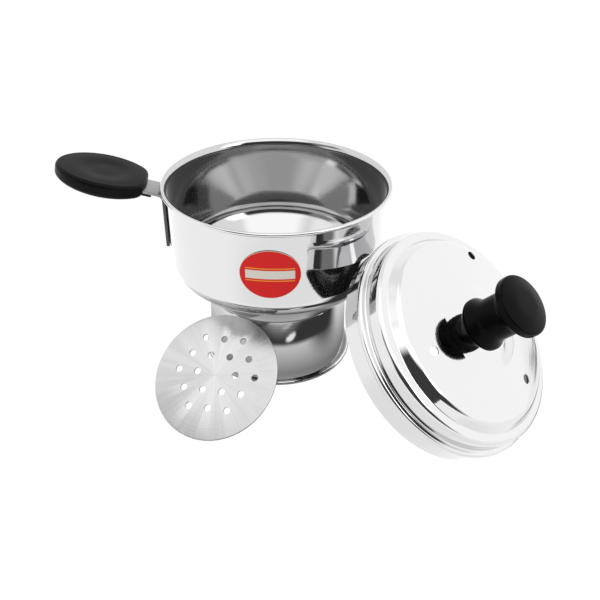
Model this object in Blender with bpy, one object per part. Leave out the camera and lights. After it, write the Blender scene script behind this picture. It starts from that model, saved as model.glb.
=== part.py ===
"""Puttu maker: a steamer pan with its side handle, its lid and its perforated plate.

Metres, +Z up. The set stands on z = 0 as it is laid out for use: the pan upright on its foot, the
lid leaning on the pan's wall and the plate leaning in the corner of foot and belly. X runs along
the handle. The origin lies under the middle of the whole set.
"""

import math

import bmesh
import bpy
from mathutils import Matrix, Vector

# Shared sizes
GAP = 0.0003
SHEET = 0.0005
SCREW_EDGE_BEND = 0.0001
SCREW_TIP_BEND = 0.0003
ARC_STEP = math.radians(30)
FINE_ARC_STEP = math.radians(15)
SMOOTH_ANGLE = math.radians(35)
MERGE_DISTANCE = 0.000001

# Pan: bowl and foot
BOWL_HEIGHT = 0.1122
WALL_RADIUS = 0.0620
RIM_OVERHANG = 0.0030
RIM_FLARE = 0.0045
RIM_BEAD = 0.0011
BELLY_CORNER_HEIGHT = 0.0637
BELLY_BEND = 0.0138
FLOOR_HEIGHT = 0.0362
FLOOR_RADIUS = 0.0340
FLOOR_BEND = 0.0050
STEAM_OPENING_RADIUS = 0.0150
FOOT_TOP_RADIUS = 0.0412
FOOT_BASE_RADIUS = 0.0419
FOOT_RIM_OVERHANG = 0.0032
FOOT_FLARE = 0.0150
FOOT_BEAD = 0.0013
FOOT_FLAT_ANGLE = math.radians(28)

# Handle: strap, grip and its fastening
STRAP_WIDTH = 0.0155
STRAP_THICKNESS = 0.0019
STRAP_BOTTOM = 0.0730
STRAP_TOP = 0.1040
STRAP_BEND = 0.0030
TANG_LENGTH = 0.0260
TANG_HOLE_RADIUS = 0.0022
HANDLE_RISE = math.radians(13.5)
GRIP_END_DISTANCE = 0.0094
GRIP_LENGTH = 0.0480
GRIP_WIDTH = 0.0412
GRIP_EDGE = 0.0074
GRIP_EDGE_BEND = 0.0022
GRIP_TOP_CROWN = 0.0012
GRIP_TOP_STEP = (0.25, 0.70)
GRIP_UNDER_CROWN = 0.0034
GRIP_UNDER_STEPS = ((0.62, 1.00), (0.38, 0.80), (0.18, 0.40))
GRIP_END_CUT = 0.0030
GRIP_TANG_DROP = 0.0013
GRIP_RECESS_LENGTH = 0.0250
GRIP_RECESS_WIDTH = 0.0230
GRIP_RECESS_DEPTH = 0.0016
GRIP_RECESS_STEPS = ((1.10, 0.00), (0.90, 0.25), (0.60, 0.85), (0.30, 1.00))
GRIP_LIP_LENGTH = 0.0032
GRIP_LIP_WIDTH = 0.0120
GRIP_LIP_THICKNESS = 0.0022
HANDLE_SCREW_INSET = 0.0110
HANDLE_SCREW_RADIUS = 0.0019
HANDLE_SCREW_HEAD_RADIUS = 0.0036
HANDLE_SCREW_HEAD = 0.0016
HANDLE_NUT_WIDTH = 0.0070
HANDLE_NUT_THICKNESS = 0.0024

# Sticker on the wall
LABEL_AZIMUTH = math.radians(-91.7)
LABEL_HEIGHT = 0.0875
LABEL_WIDTH = 0.0320
LABEL_TALL = 0.0280
LABEL_THICKNESS = 0.0003

# Plate
PLATE_RADIUS = 0.0364
PLATE_THICKNESS = 0.0009
PLATE_AZIMUTH = math.radians(-117.8)
PLATE_HOLE_RADIUS = 0.0020
PLATE_HOLE_PITCH = 0.0116
PLATE_HOLE_RINGS = 2
PLATE_PATTERN_SHIFT = 0.0015
PLATE_PATTERN_TURN = math.radians(41.6)

# Lid: heights along its axis count from the middle of its bead. Each vent is punched at its own
# distance from the axis and its own angle from straight down the slope.
LID_AZIMUTH = math.radians(-35.4)
LID_ELEVATION = math.radians(46.8)
LID_SKIRT_RADIUS = 0.0612
LID_SKIRT_DEPTH = 0.0125
LID_BEAD_RADIUS = 0.0630
LID_BEAD_HALF = 0.0016
LID_WALL_RADIUS = 0.0595
LID_SHOULDER_HEIGHT = 0.0116
LID_SHOULDER_BEND = 0.0042
LID_STEP_BEND = 0.0009
LID_SKIRT_BEND = 0.0006
LID_DOME_RADIUS = 0.0539
LID_DOME_STEP = 0.0046
LID_DOME_EDGE_INSET = 0.0036
LID_DOME_EDGE_BEND = 0.0050
LID_DOME_RISE = 0.0046
LID_DOME_MIDDLE_SHARE = 0.75
LID_DOME_BEND = 0.0900
LID_BOSS_BASE_RADIUS = 0.0245
LID_BOSS_TOP_RADIUS = 0.0168
LID_BOSS_RISE = 0.0020
LID_BOSS_BEND = 0.0100
VENT_RADIUS = 0.0026
VENT_PLACES = (
    (0.0396, math.radians(13.4)),
    (0.0455, math.radians(128.9)),
    (0.0383, math.radians(-101.9)),
)

# Knob: heights count from its base
KNOB_BASE_RADIUS = 0.0141
KNOB_BASE_EDGE = 0.0007
KNOB_WAIST_RADIUS = 0.0113
KNOB_WAIST_START = 0.0050
KNOB_WAIST_START_BEND = 0.0100
KNOB_WAIST_END = 0.0190
KNOB_WAIST_END_BEND = 0.0060
KNOB_CAP_RADIUS = 0.0160
KNOB_CAP_START = 0.0222
KNOB_CAP_START_BEND = 0.0008
KNOB_CAP_END = 0.0262
KNOB_CAP_END_BEND = 0.0014
KNOB_HEIGHT = 0.0280
KNOB_TOP_BEND = 0.0200
KNOB_SCREW_RADIUS = 0.0020
KNOB_SCREW_LENGTH = 0.0130
KNOB_SCREW_HEAD_RADIUS = 0.0040
KNOB_SCREW_HEAD = 0.0022
KNOB_WASHER_RADIUS = 0.0060
KNOB_WASHER_THICKNESS = 0.0010
KNOB_INSERT_RADIUS = 0.0036
KNOB_INSERT_DEPTH = 0.0110

# Mesh counts
BOWL_SEGMENTS = 48
FOOT_SEGMENTS = 44
LID_SEGMENTS = 44
KNOB_SEGMENTS = 28
GRIP_SEGMENTS = 40
SMALL_SEGMENTS = 16
HOLE_SEGMENTS = 12

# Heights and slopes that follow from the sizes above
BELLY_SLOPE = (BELLY_CORNER_HEIGHT - FLOOR_HEIGHT) / (WALL_RADIUS - FLOOR_RADIUS)
BELLY_GAP_DROP = GAP * math.hypot(1, BELLY_SLOPE)
LID_DOME_EDGE_HEIGHT = LID_SHOULDER_HEIGHT + LID_DOME_STEP
LID_BOSS_HEIGHT = LID_DOME_EDGE_HEIGHT + LID_DOME_RISE + LID_BOSS_RISE


def clear_scene():
    for item in list(bpy.context.scene.objects):
        bpy.data.objects.remove(item, do_unlink=True)


def material(name, colour, metallic, roughness):
    made = bpy.data.materials.new(name)
    made.use_nodes = True
    shader = made.node_tree.nodes["Principled BSDF"]
    shader.inputs["Base Color"].default_value = (*colour, 1)
    shader.inputs["Metallic"].default_value = metallic
    shader.inputs["Roughness"].default_value = roughness
    return made


def pose(name, parent, matrix):
    """An empty that carries the pieces of one pose."""
    empty = bpy.data.objects.new(name, None)
    bpy.context.collection.objects.link(empty)
    empty.parent = parent
    empty.matrix_local = matrix
    return empty


def piece(name, bm, parent, finish):
    """Turn a bmesh into a named, closed, smooth shaded object under its pose."""
    bmesh.ops.remove_doubles(bm, verts=bm.verts, dist=MERGE_DISTANCE)
    bmesh.ops.recalc_face_normals(bm, faces=bm.faces)
    mesh = bpy.data.meshes.new(name)
    bm.to_mesh(mesh)
    bm.free()
    mesh.shade_smooth()
    mesh.set_sharp_from_angle(angle=SMOOTH_ANGLE)
    made = bpy.data.objects.new(name, mesh)
    bpy.context.collection.objects.link(made)
    made.data.materials.append(finish)
    made.parent = parent
    return made


def arc(centre, radius, start, end, step=ARC_STEP):
    """Points on a circle from one angle to another, ends included."""
    count = math.ceil(abs(end - start) / step)
    angles = [start + (end - start) * index / count for index in range(count + 1)]
    return [centre + radius * Vector((math.cos(angle), math.sin(angle))) for angle in angles]


def rounded(corners, step=ARC_STEP):
    """A line through (x, y, bend) corners, each turned by an arc that its two legs can hold."""
    points = [Vector(corner[:2]) for corner in corners]
    line = [points[0]]
    for index in range(1, len(points) - 1):
        corner = points[index]
        back = points[index - 1] - corner
        ahead = points[index + 1] - corner
        opening = back.angle(ahead)
        leg = corners[index][2] / math.tan(opening / 2)
        leg = min(leg, 0.48 * back.length, 0.48 * ahead.length)
        bend = leg * math.tan(opening / 2)
        middle = (back.normalized() + ahead.normalized()).normalized()
        centre = corner + middle * math.hypot(leg, bend)
        first = corner + back.normalized() * leg - centre
        last = corner + ahead.normalized() * leg - centre
        start = math.atan2(first.y, first.x)
        sweep = math.remainder(math.atan2(last.y, last.x) - start, math.tau)
        line.extend(arc(centre, bend, start, start + sweep, step))
    line.append(points[-1])
    return line


def offset(line, distance):
    """The line moved to its left, with the same corners."""
    moved = []
    for index, point in enumerate(line):
        before = line[max(index - 1, 0)]
        after = line[min(index + 1, len(line) - 1)]
        normals = []
        for first, last in ((before, point), (point, after)):
            if first != last:
                run = (last - first).normalized()
                normals.append(Vector((-run.y, run.x)))
        middle = (normals[0] + normals[-1]).normalized()
        moved.append(point + middle * distance / middle.dot(normals[0]))
    return moved


def rolled_edge(wall_radius, overhang, flare, bead):
    """Flare and bead that end a turned wall, as (radius, height) with the edge's top at height 0.

    The line runs up the outside of the flare, round the bead and down the inside of the flare.
    """
    reach = flare + SHEET - bead
    turn = math.acos((flare + bead - overhang) / reach)
    meet = math.acos((reach ** 2 + flare ** 2 - bead ** 2) / (2 * reach * flare))
    flare_centre = Vector((wall_radius + flare, -bead - reach * math.sin(turn)))
    bead_centre = flare_centre + reach * Vector((-math.cos(turn), math.sin(turn)))
    outside = arc(flare_centre, flare, math.pi, math.pi - turn + meet)
    contact = outside[-1] - bead_centre
    start = math.atan2(contact.y, contact.x)
    roll = arc(bead_centre, bead, start, math.pi - turn)
    inside = arc(flare_centre, flare + SHEET, math.pi - turn, math.pi)
    return outside + roll[1:-1] + inside


def turned(name, profile, segments, parent, finish):
    """Spin a closed (radius, height) profile round Z."""
    bm = bmesh.new()
    ring = [bm.verts.new((point[0], 0, point[1])) for point in profile]
    for first, last in zip(ring, ring[1:] + ring[:1]):
        if max(first.co.x, last.co.x) > 0:
            bm.edges.new((first, last))
    bmesh.ops.spin(bm, geom=bm.verts[:] + bm.edges[:], axis=(0, 0, 1), cent=(0, 0, 0),
                   steps=segments, angle=math.tau, use_merge=True)
    return piece(name, bm, parent, finish)


def extruded(name, outline, depth, parent, finish):
    """A closed (x, z) outline drawn out to both sides along Y."""
    bm = bmesh.new()
    corners = [bm.verts.new((point[0], -depth / 2, point[1])) for point in outline]
    face = bm.faces.new(corners)
    grown = bmesh.ops.extrude_face_region(bm, geom=[face])
    moved = [item for item in grown["geom"] if isinstance(item, bmesh.types.BMVert)]
    bmesh.ops.translate(bm, verts=moved, vec=(0, depth, 0))
    return piece(name, bm, parent, finish)


def ringed(name, rings, segments, parent, finish, place=Vector):
    """Skin a stack of oval rings, each (half length, half width, height, cut at +X)."""
    bm = bmesh.new()
    loops = []
    for half_length, half_width, height, cut in rings:
        loop = []
        for index in range(segments):
            angle = math.tau * index / segments
            x = min(half_length * math.cos(angle), cut)
            loop.append(bm.verts.new(place((x, half_width * math.sin(angle), height))))
        loops.append(loop)
    for lower, upper in zip(loops, loops[1:]):
        for index in range(segments):
            after = (index + 1) % segments
            bm.faces.new((lower[index], lower[after], upper[after], upper[index]))
    bm.faces.new(loops[0])
    bm.faces.new(loops[-1])
    return piece(name, bm, parent, finish)


def cylinder_into(bm, radius, low, high, centre=(0, 0), segments=HOLE_SEGMENTS):
    """Add an upright cylinder between two heights to a bmesh."""
    place = Matrix.Translation((centre[0], centre[1], (low + high) / 2))
    bmesh.ops.create_cone(bm, cap_ends=True, segments=segments, radius1=radius, radius2=radius,
                          depth=high - low, matrix=place)


def box_into(bm, low, high):
    """Add a box between two corners to a bmesh."""
    size = Vector(high) - Vector(low)
    place = Matrix.Translation((Vector(high) + Vector(low)) / 2) @ Matrix.Diagonal((*size, 1))
    bmesh.ops.create_cube(bm, size=1, matrix=place)


def combine(target, name, bm, operation="DIFFERENCE"):
    """Cut a bmesh out of an object, or join it on, with a hidden guide."""
    guide = piece(name, bm, target.parent, target.data.materials[0])
    guide.hide_render = True
    guide.display_type = "WIRE"
    modifier = target.modifiers.new(name, "BOOLEAN")
    modifier.operation = operation
    modifier.solver = "EXACT"
    modifier.object = guide


def belly_height(radius):
    """Height of the belly's outer face at a radius."""
    return FLOOR_HEIGHT + (radius - FLOOR_RADIUS) * BELLY_SLOPE


def build_bowl(parent):
    edge = [Vector((point.x, point.y + BOWL_HEIGHT))
            for point in rolled_edge(WALL_RADIUS, RIM_OVERHANG, RIM_FLARE, RIM_BEAD)]
    outside = rounded([
        (STEAM_OPENING_RADIUS, FLOOR_HEIGHT),
        (FLOOR_RADIUS, FLOOR_HEIGHT, FLOOR_BEND),
        (WALL_RADIUS, BELLY_CORNER_HEIGHT, BELLY_BEND),
        edge[0],
    ], FINE_ARC_STEP)
    inside = offset(outside, SHEET)[:-1]
    profile = outside[:-1] + edge + inside[::-1]
    finish = material("polished steel", (0.80, 0.80, 0.80), 1.0, 0.08)
    return turned("bowl", profile, BOWL_SEGMENTS, parent, finish)


def build_foot(parent):
    flat = FOOT_BEAD * (1 - math.cos(FOOT_FLAT_ANGLE))
    edge = []
    for point in rolled_edge(FOOT_BASE_RADIUS, FOOT_RIM_OVERHANG, FOOT_FLARE, FOOT_BEAD):
        edge.append(Vector((point.x, max(-point.y - flat, 0))))
    top = [
        Vector((FOOT_TOP_RADIUS - SHEET, belly_height(FOOT_TOP_RADIUS - SHEET) - BELLY_GAP_DROP)),
        Vector((FOOT_TOP_RADIUS, belly_height(FOOT_TOP_RADIUS) - BELLY_GAP_DROP)),
    ]
    finish = material("foot steel", (0.78, 0.78, 0.78), 1.0, 0.08)
    return turned("foot_ring", edge + top, FOOT_SEGMENTS, parent, finish)


def strap_start():
    """Where the strap's outer face, going down the wall, and its tang meet."""
    return Vector((WALL_RADIUS + GAP + STRAP_THICKNESS, STRAP_TOP))


def handle_point(distance, height):
    """A point in the handle's plane, along the tang and square to it, as (distance, height)."""
    start = strap_start()
    along = Vector((math.cos(HANDLE_RISE), math.sin(HANDLE_RISE)))
    across = Vector((-math.sin(HANDLE_RISE), math.cos(HANDLE_RISE)))
    return start + along * distance + across * height


def build_bracket(parent, grip_pose):
    start = strap_start()
    end = handle_point(GRIP_END_DISTANCE + TANG_LENGTH, 0)
    under = rounded([
        (start.x, STRAP_BOTTOM),
        (start.x, start.y, STRAP_BEND),
        (end.x, end.y),
    ])
    outline = under + offset(under, STRAP_THICKNESS)[::-1]
    outline = [(-point.x, point.y) for point in outline]
    finish = material("strap steel", (0.70, 0.70, 0.70), 1.0, 0.22)
    bracket = extruded("handle_bracket", outline, STRAP_WIDTH, parent, finish)
    hole = bmesh.new()
    cylinder_into(hole, TANG_HOLE_RADIUS, -GRIP_EDGE, GRIP_EDGE, (screw_place(), 0))
    hole.transform(parent.matrix_world.inverted() @ grip_pose.matrix_world)
    combine(bracket, "tang_hole", hole)
    return bracket


def screw_place():
    """The handle screw's place along the grip, counted from its middle towards the pan."""
    return GRIP_LENGTH / 2 - HANDLE_SCREW_INSET


def grip_matrix():
    """Middle of the grip: +X towards the pan, +Z up and square to the tang."""
    middle = handle_point(GRIP_END_DISTANCE + GRIP_LENGTH / 2, STRAP_THICKNESS / 2 + GRIP_TANG_DROP)
    return Matrix.Translation((-middle.x, 0, middle.y)) @ Matrix.Rotation(HANDLE_RISE, 4, "Y")


def build_grip(grip_pose):
    half_length = GRIP_LENGTH / 2
    half_width = GRIP_WIDTH / 2
    half_edge = GRIP_EDGE / 2
    bend = GRIP_EDGE_BEND
    oval = half_length + GRIP_END_CUT

    def ring(inset, height):
        return (oval - inset, half_width - inset, height, half_length - inset)

    def dish(share, depth):
        return (share * GRIP_RECESS_LENGTH / 2, share * GRIP_RECESS_WIDTH / 2,
                half_edge + GRIP_TOP_CROWN - depth, half_length)

    rings = [ring(inset * half_width, -half_edge - drop * GRIP_UNDER_CROWN)
             for inset, drop in GRIP_UNDER_STEPS]
    corner_angles = [ARC_STEP * index for index in range(round(math.pi / 2 / ARC_STEP) + 1)]
    for angle in corner_angles:
        rings.append(ring(bend * (1 - math.sin(angle)), -half_edge + bend * (1 - math.cos(angle))))
    for angle in corner_angles:
        rings.append(ring(bend * (1 - math.cos(angle)), half_edge - bend * (1 - math.sin(angle))))
    inset, rise = GRIP_TOP_STEP
    rings.append(ring(inset * half_width, half_edge + rise * GRIP_TOP_CROWN))
    rings += [dish(share, depth * GRIP_RECESS_DEPTH) for share, depth in GRIP_RECESS_STEPS]
    finish = material("black bakelite", (0.025, 0.025, 0.025), 0.0, 0.45)
    grip = ringed("handle_grip", rings, GRIP_SEGMENTS, grip_pose, finish)

    tang_middle = -GRIP_TANG_DROP
    tang_low = tang_middle - STRAP_THICKNESS / 2 - GAP
    tang_high = tang_middle + STRAP_THICKNESS / 2 + GAP
    lip = bmesh.new()
    lip_root = half_length - 2 * GRIP_LIP_LENGTH
    box_into(lip, (lip_root, -GRIP_LIP_WIDTH / 2, tang_low - GRIP_LIP_THICKNESS),
             (half_length + GRIP_LIP_LENGTH, GRIP_LIP_WIDTH / 2, tang_low + GAP))
    combine(grip, "grip_lip", lip, "UNION")

    place = screw_place()
    socket = bmesh.new()
    box_into(socket, (half_length - TANG_LENGTH - GAP, -STRAP_WIDTH / 2 - GAP, tang_low),
             (half_length + 2 * GRIP_LIP_LENGTH, STRAP_WIDTH / 2 + GAP, tang_high))
    combine(grip, "tang_socket", socket)
    nut_half = HANDLE_NUT_WIDTH / 2 + GAP
    pocket = bmesh.new()
    box_into(pocket, (place - nut_half, -nut_half, tang_middle),
             (place + nut_half, nut_half, tang_high + HANDLE_NUT_THICKNESS + 2 * GAP))
    combine(grip, "nut_pocket", pocket)
    shank = bmesh.new()
    cylinder_into(shank, HANDLE_SCREW_RADIUS + GAP, -GRIP_EDGE - GRIP_UNDER_CROWN, tang_middle, (place, 0))
    combine(grip, "screw_hole", shank)
    head = bmesh.new()
    cylinder_into(head, HANDLE_SCREW_HEAD_RADIUS + GAP, -GRIP_EDGE - GRIP_UNDER_CROWN,
                  screw_seat(), (place, 0), SMALL_SEGMENTS)
    combine(grip, "head_recess", head)
    return grip


def screw_seat():
    """Height in the grip where the handle screw's head seats."""
    return -GRIP_EDGE / 2 - GRIP_UNDER_CROWN + HANDLE_SCREW_HEAD + 2 * GAP


def build_handle_screw(grip_pose):
    place = screw_place()
    head_top = screw_seat() - GAP
    nut_low = -GRIP_TANG_DROP + STRAP_THICKNESS / 2 + GAP
    profile = rounded([
        (0, head_top - HANDLE_SCREW_HEAD),
        (HANDLE_SCREW_HEAD_RADIUS, head_top - HANDLE_SCREW_HEAD, HANDLE_SCREW_HEAD / 2),
        (HANDLE_SCREW_HEAD_RADIUS, head_top, SCREW_EDGE_BEND),
        (HANDLE_SCREW_RADIUS, head_top, SCREW_EDGE_BEND),
        (HANDLE_SCREW_RADIUS, nut_low + HANDLE_NUT_THICKNESS, SCREW_TIP_BEND),
        (0, nut_low + HANDLE_NUT_THICKNESS),
    ])
    finish = material("screw steel", (0.60, 0.60, 0.60), 1.0, 0.30)
    screw = turned("handle_screw", profile, SMALL_SEGMENTS, grip_pose, finish)
    screw.location.x = place
    slot = bmesh.new()
    slot_half = HANDLE_SCREW_HEAD / 4
    box_into(slot, (place - HANDLE_SCREW_HEAD_RADIUS, -slot_half, head_top - 2 * HANDLE_SCREW_HEAD),
             (place + HANDLE_SCREW_HEAD_RADIUS, slot_half, head_top - HANDLE_SCREW_HEAD / 2))
    combine(screw, "handle_screw_slot", slot)

    half = HANDLE_NUT_WIDTH / 2
    block = bmesh.new()
    box_into(block, (place - half, -half, nut_low), (place + half, half, nut_low + HANDLE_NUT_THICKNESS))
    brass = material("nut steel", (0.65, 0.62, 0.55), 1.0, 0.35)
    nut = piece("handle_nut", block, grip_pose, brass)
    bore = bmesh.new()
    cylinder_into(bore, HANDLE_SCREW_RADIUS + GAP, nut_low - HANDLE_NUT_THICKNESS,
                  nut_low + 2 * HANDLE_NUT_THICKNESS, (place, 0))
    combine(nut, "nut_bore", bore)


def build_label(parent):
    inner = WALL_RADIUS + GAP
    turn = Matrix.Rotation(LABEL_AZIMUTH, 3, "Z")

    def wrapped(point):
        radius = inner + point[2]
        angle = point[0] / inner
        return turn @ Vector((radius * math.cos(angle), radius * math.sin(angle), LABEL_HEIGHT + point[1]))

    shares = [index / 3 for index in range(1, 4)]
    faces = [(share * LABEL_WIDTH / 2, share * LABEL_TALL / 2) for share in shares]
    rings = [(*face, 0, LABEL_WIDTH) for face in faces]
    rings += [(*face, LABEL_THICKNESS, LABEL_WIDTH) for face in reversed(faces)]
    finish = material("red sticker", (0.75, 0.03, 0.03), 0.0, 0.35)
    return ringed("label", rings, SMALL_SEGMENTS * 2, parent, finish, wrapped)


def leaning(azimuth, distance, height, tilt):
    """Pose of a leaning piece: +Z its own axis, +X straight down its slope."""
    outward = Vector((math.cos(azimuth), math.sin(azimuth), 0))
    axis = outward * math.sin(tilt) + Vector((0, 0, math.cos(tilt)))
    slope = outward * math.cos(tilt) - Vector((0, 0, math.sin(tilt)))
    turn = Matrix((slope, axis.cross(slope), axis)).transposed().to_4x4()
    return Matrix.Translation(outward * distance + Vector((0, 0, height))) @ turn


def plate_matrix():
    """The plate stands on its lower edge, its upper edge in the corner of foot and belly."""
    corner = belly_height(FOOT_TOP_RADIUS + GAP) - BELLY_GAP_DROP
    rise = 2 * PLATE_RADIUS - PLATE_THICKNESS * BELLY_SLOPE
    tilt = math.asin(corner / math.hypot(rise, PLATE_THICKNESS)) - math.atan2(PLATE_THICKNESS, rise)
    distance = FOOT_TOP_RADIUS + GAP + PLATE_RADIUS * math.cos(tilt)
    return leaning(PLATE_AZIMUTH, distance, PLATE_RADIUS * math.sin(tilt), tilt)


def plate_holes():
    """Places of the plate's holes: rings of a triangular pattern, its middle left whole.

    The pattern is punched a little off the plate's middle, towards its upper edge as it leans.
    """
    places = []
    for column in range(-PLATE_HOLE_RINGS, PLATE_HOLE_RINGS + 1):
        for row in range(-PLATE_HOLE_RINGS, PLATE_HOLE_RINGS + 1):
            inside = abs(column + row) <= PLATE_HOLE_RINGS
            if inside and (column, row) != (0, 0):
                x = PLATE_HOLE_PITCH * (column + row / 2)
                y = PLATE_HOLE_PITCH * row * math.sin(math.radians(60))
                turned_place = Matrix.Rotation(PLATE_PATTERN_TURN, 2) @ Vector((x, y))
                places.append(turned_place - Vector((PLATE_PATTERN_SHIFT, 0)))
    return places


def build_plate(parent):
    plate_pose = pose("plate_pose", parent, plate_matrix())
    profile = [(0, 0), (PLATE_RADIUS, 0), (PLATE_RADIUS, PLATE_THICKNESS), (0, PLATE_THICKNESS)]
    finish = material("plate steel", (0.62, 0.62, 0.62), 1.0, 0.28)
    plate = turned("steam_disc", profile, FOOT_SEGMENTS, plate_pose, finish)
    holes = bmesh.new()
    for place in plate_holes():
        cylinder_into(holes, PLATE_HOLE_RADIUS, -PLATE_THICKNESS, 2 * PLATE_THICKNESS, place)
    combine(plate, "plate_perforation", holes)
    return plate


def lid_matrix():
    """The lid stands on its skirt's lower edge, its skirt's upper edge on the pan's wall."""
    tilt = math.pi / 2 - LID_ELEVATION
    height = LID_SKIRT_DEPTH * math.cos(tilt) + LID_SKIRT_RADIUS * math.sin(tilt)
    distance = (WALL_RADIUS + GAP + LID_SKIRT_DEPTH * math.sin(tilt)
                + LID_SKIRT_RADIUS * math.cos(tilt))
    return leaning(LID_AZIMUTH, distance, height, tilt)


def build_lid(lid_pose):
    dome_edge = LID_DOME_RADIUS - LID_DOME_EDGE_INSET
    boss_base = LID_BOSS_HEIGHT - LID_BOSS_RISE
    middle = (LID_BOSS_BASE_RADIUS + dome_edge) / 2
    outside = rounded([
        (lid_hole_radius(), LID_BOSS_HEIGHT),
        (LID_BOSS_TOP_RADIUS, LID_BOSS_HEIGHT, LID_BOSS_BEND),
        (LID_BOSS_BASE_RADIUS, boss_base, LID_BOSS_BEND),
        (middle, LID_DOME_EDGE_HEIGHT + LID_DOME_MIDDLE_SHARE * LID_DOME_RISE, LID_DOME_BEND),
        (dome_edge, LID_DOME_EDGE_HEIGHT, LID_DOME_EDGE_BEND),
        (LID_DOME_RADIUS, LID_SHOULDER_HEIGHT, LID_STEP_BEND),
        (LID_WALL_RADIUS, LID_SHOULDER_HEIGHT, LID_SHOULDER_BEND),
        (LID_WALL_RADIUS, LID_BEAD_HALF, LID_STEP_BEND),
        (LID_BEAD_RADIUS, LID_BEAD_HALF, LID_BEAD_HALF),
        (LID_BEAD_RADIUS, -LID_BEAD_HALF, LID_BEAD_HALF),
        (LID_SKIRT_RADIUS, -LID_BEAD_HALF, LID_SKIRT_BEND),
        (LID_SKIRT_RADIUS, -LID_SKIRT_DEPTH),
    ])
    inside = offset(outside, -SHEET)
    finish = material("lid steel", (0.82, 0.82, 0.82), 1.0, 0.07)
    lid = turned("lid_shell", outside + inside[::-1], LID_SEGMENTS, lid_pose, finish)
    vents = bmesh.new()
    for distance, angle in VENT_PLACES:
        place = (distance * math.cos(angle), distance * math.sin(angle))
        cylinder_into(vents, VENT_RADIUS, LID_SHOULDER_HEIGHT, 2 * LID_BOSS_HEIGHT, place)
    combine(lid, "vent_holes", vents)
    return lid


def lid_hole_radius():
    return KNOB_SCREW_RADIUS + GAP


def build_knob(knob_pose):
    """The knob's base lies at the pose's origin, just above the lid's boss."""
    bore = KNOB_INSERT_RADIUS + GAP
    outside = rounded([
        (bore, 0),
        (KNOB_BASE_RADIUS, 0, KNOB_BASE_EDGE / 2),
        (KNOB_BASE_RADIUS, KNOB_BASE_EDGE, KNOB_BASE_EDGE / 2),
        (KNOB_WAIST_RADIUS, KNOB_WAIST_START, KNOB_WAIST_START_BEND),
        (KNOB_WAIST_RADIUS, KNOB_WAIST_END, KNOB_WAIST_END_BEND),
        (KNOB_CAP_RADIUS, KNOB_CAP_START, KNOB_CAP_START_BEND),
        (KNOB_CAP_RADIUS, KNOB_CAP_END, KNOB_CAP_END_BEND),
        (KNOB_CAP_RADIUS / 2, KNOB_HEIGHT, KNOB_TOP_BEND),
        (0, KNOB_HEIGHT),
    ])
    pocket = KNOB_INSERT_DEPTH + 2 * GAP
    profile = outside + [Vector((0, pocket)), Vector((bore, pocket))]
    finish = material("black knob", (0.02, 0.02, 0.02), 0.0, 0.30)
    turned("knob", profile, KNOB_SEGMENTS, knob_pose, finish)

    thread = KNOB_SCREW_RADIUS + GAP
    sleeve = [(thread, GAP), (KNOB_INSERT_RADIUS, GAP), (KNOB_INSERT_RADIUS, KNOB_INSERT_DEPTH),
              (thread, KNOB_INSERT_DEPTH)]
    brass = material("brass insert", (0.72, 0.50, 0.22), 1.0, 0.30)
    turned("knob_insert", sleeve, SMALL_SEGMENTS, knob_pose, brass)

    lid_under = -GAP - SHEET
    washer_top = lid_under - GAP
    washer_low = washer_top - KNOB_WASHER_THICKNESS
    ring = [(thread, washer_low), (KNOB_WASHER_RADIUS, washer_low), (KNOB_WASHER_RADIUS, washer_top),
            (thread, washer_top)]
    steel = material("washer steel", (0.62, 0.62, 0.62), 1.0, 0.25)
    turned("knob_washer", ring, SMALL_SEGMENTS, knob_pose, steel)

    head_top = washer_low - GAP
    profile = rounded([
        (0, head_top - KNOB_SCREW_HEAD),
        (KNOB_SCREW_HEAD_RADIUS, head_top - KNOB_SCREW_HEAD, KNOB_SCREW_HEAD / 2),
        (KNOB_SCREW_HEAD_RADIUS, head_top, SCREW_EDGE_BEND),
        (KNOB_SCREW_RADIUS, head_top, SCREW_EDGE_BEND),
        (KNOB_SCREW_RADIUS, head_top + KNOB_SCREW_LENGTH, SCREW_TIP_BEND),
        (0, head_top + KNOB_SCREW_LENGTH),
    ])
    plated = material("knob screw steel", (0.60, 0.60, 0.60), 1.0, 0.30)
    screw = turned("knob_screw", profile, SMALL_SEGMENTS, knob_pose, plated)
    cross = bmesh.new()
    slot_half = KNOB_SCREW_HEAD / 5
    slot_length = 0.6 * KNOB_SCREW_HEAD_RADIUS
    slot_low = head_top - 2 * KNOB_SCREW_HEAD
    slot_high = head_top - KNOB_SCREW_HEAD / 2
    box_into(cross, (-slot_length, -slot_half, slot_low), (slot_length, slot_half, slot_high))
    combine(screw, "knob_screw_slot", cross)
    other = bmesh.new()
    box_into(other, (-slot_half, -slot_length, slot_low), (slot_half, slot_length, slot_high))
    combine(screw, "knob_screw_cross_slot", other)


def centre_set(root):
    """Move the whole set so that its box stands centred over the origin."""
    bpy.context.view_layer.update()
    graph = bpy.context.evaluated_depsgraph_get()
    corners = []
    for item in bpy.context.scene.objects:
        if item.type == "MESH" and not item.hide_render:
            seen = item.evaluated_get(graph)
            corners.extend(seen.matrix_world @ vertex.co for vertex in seen.data.vertices)
    for axis in (0, 1):
        values = [corner[axis] for corner in corners]
        root.location[axis] -= (min(values) + max(values)) / 2
    bpy.context.view_layer.update()


def main():
    clear_scene()
    root = pose("set_pose", None, Matrix.Identity(4))
    grip_pose = pose("grip_pose", root, grip_matrix())
    lid_pose = pose("lid_pose", root, lid_matrix())
    knob_base = Matrix.Translation((0, 0, LID_BOSS_HEIGHT + GAP))
    knob_pose = pose("knob_pose", lid_pose, knob_base)
    bpy.context.view_layer.update()
    build_bowl(root)
    build_foot(root)
    build_bracket(root, grip_pose)
    build_grip(grip_pose)
    build_handle_screw(grip_pose)
    build_label(root)
    build_plate(root)
    build_lid(lid_pose)
    build_knob(knob_pose)
    centre_set(root)


main()
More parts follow.
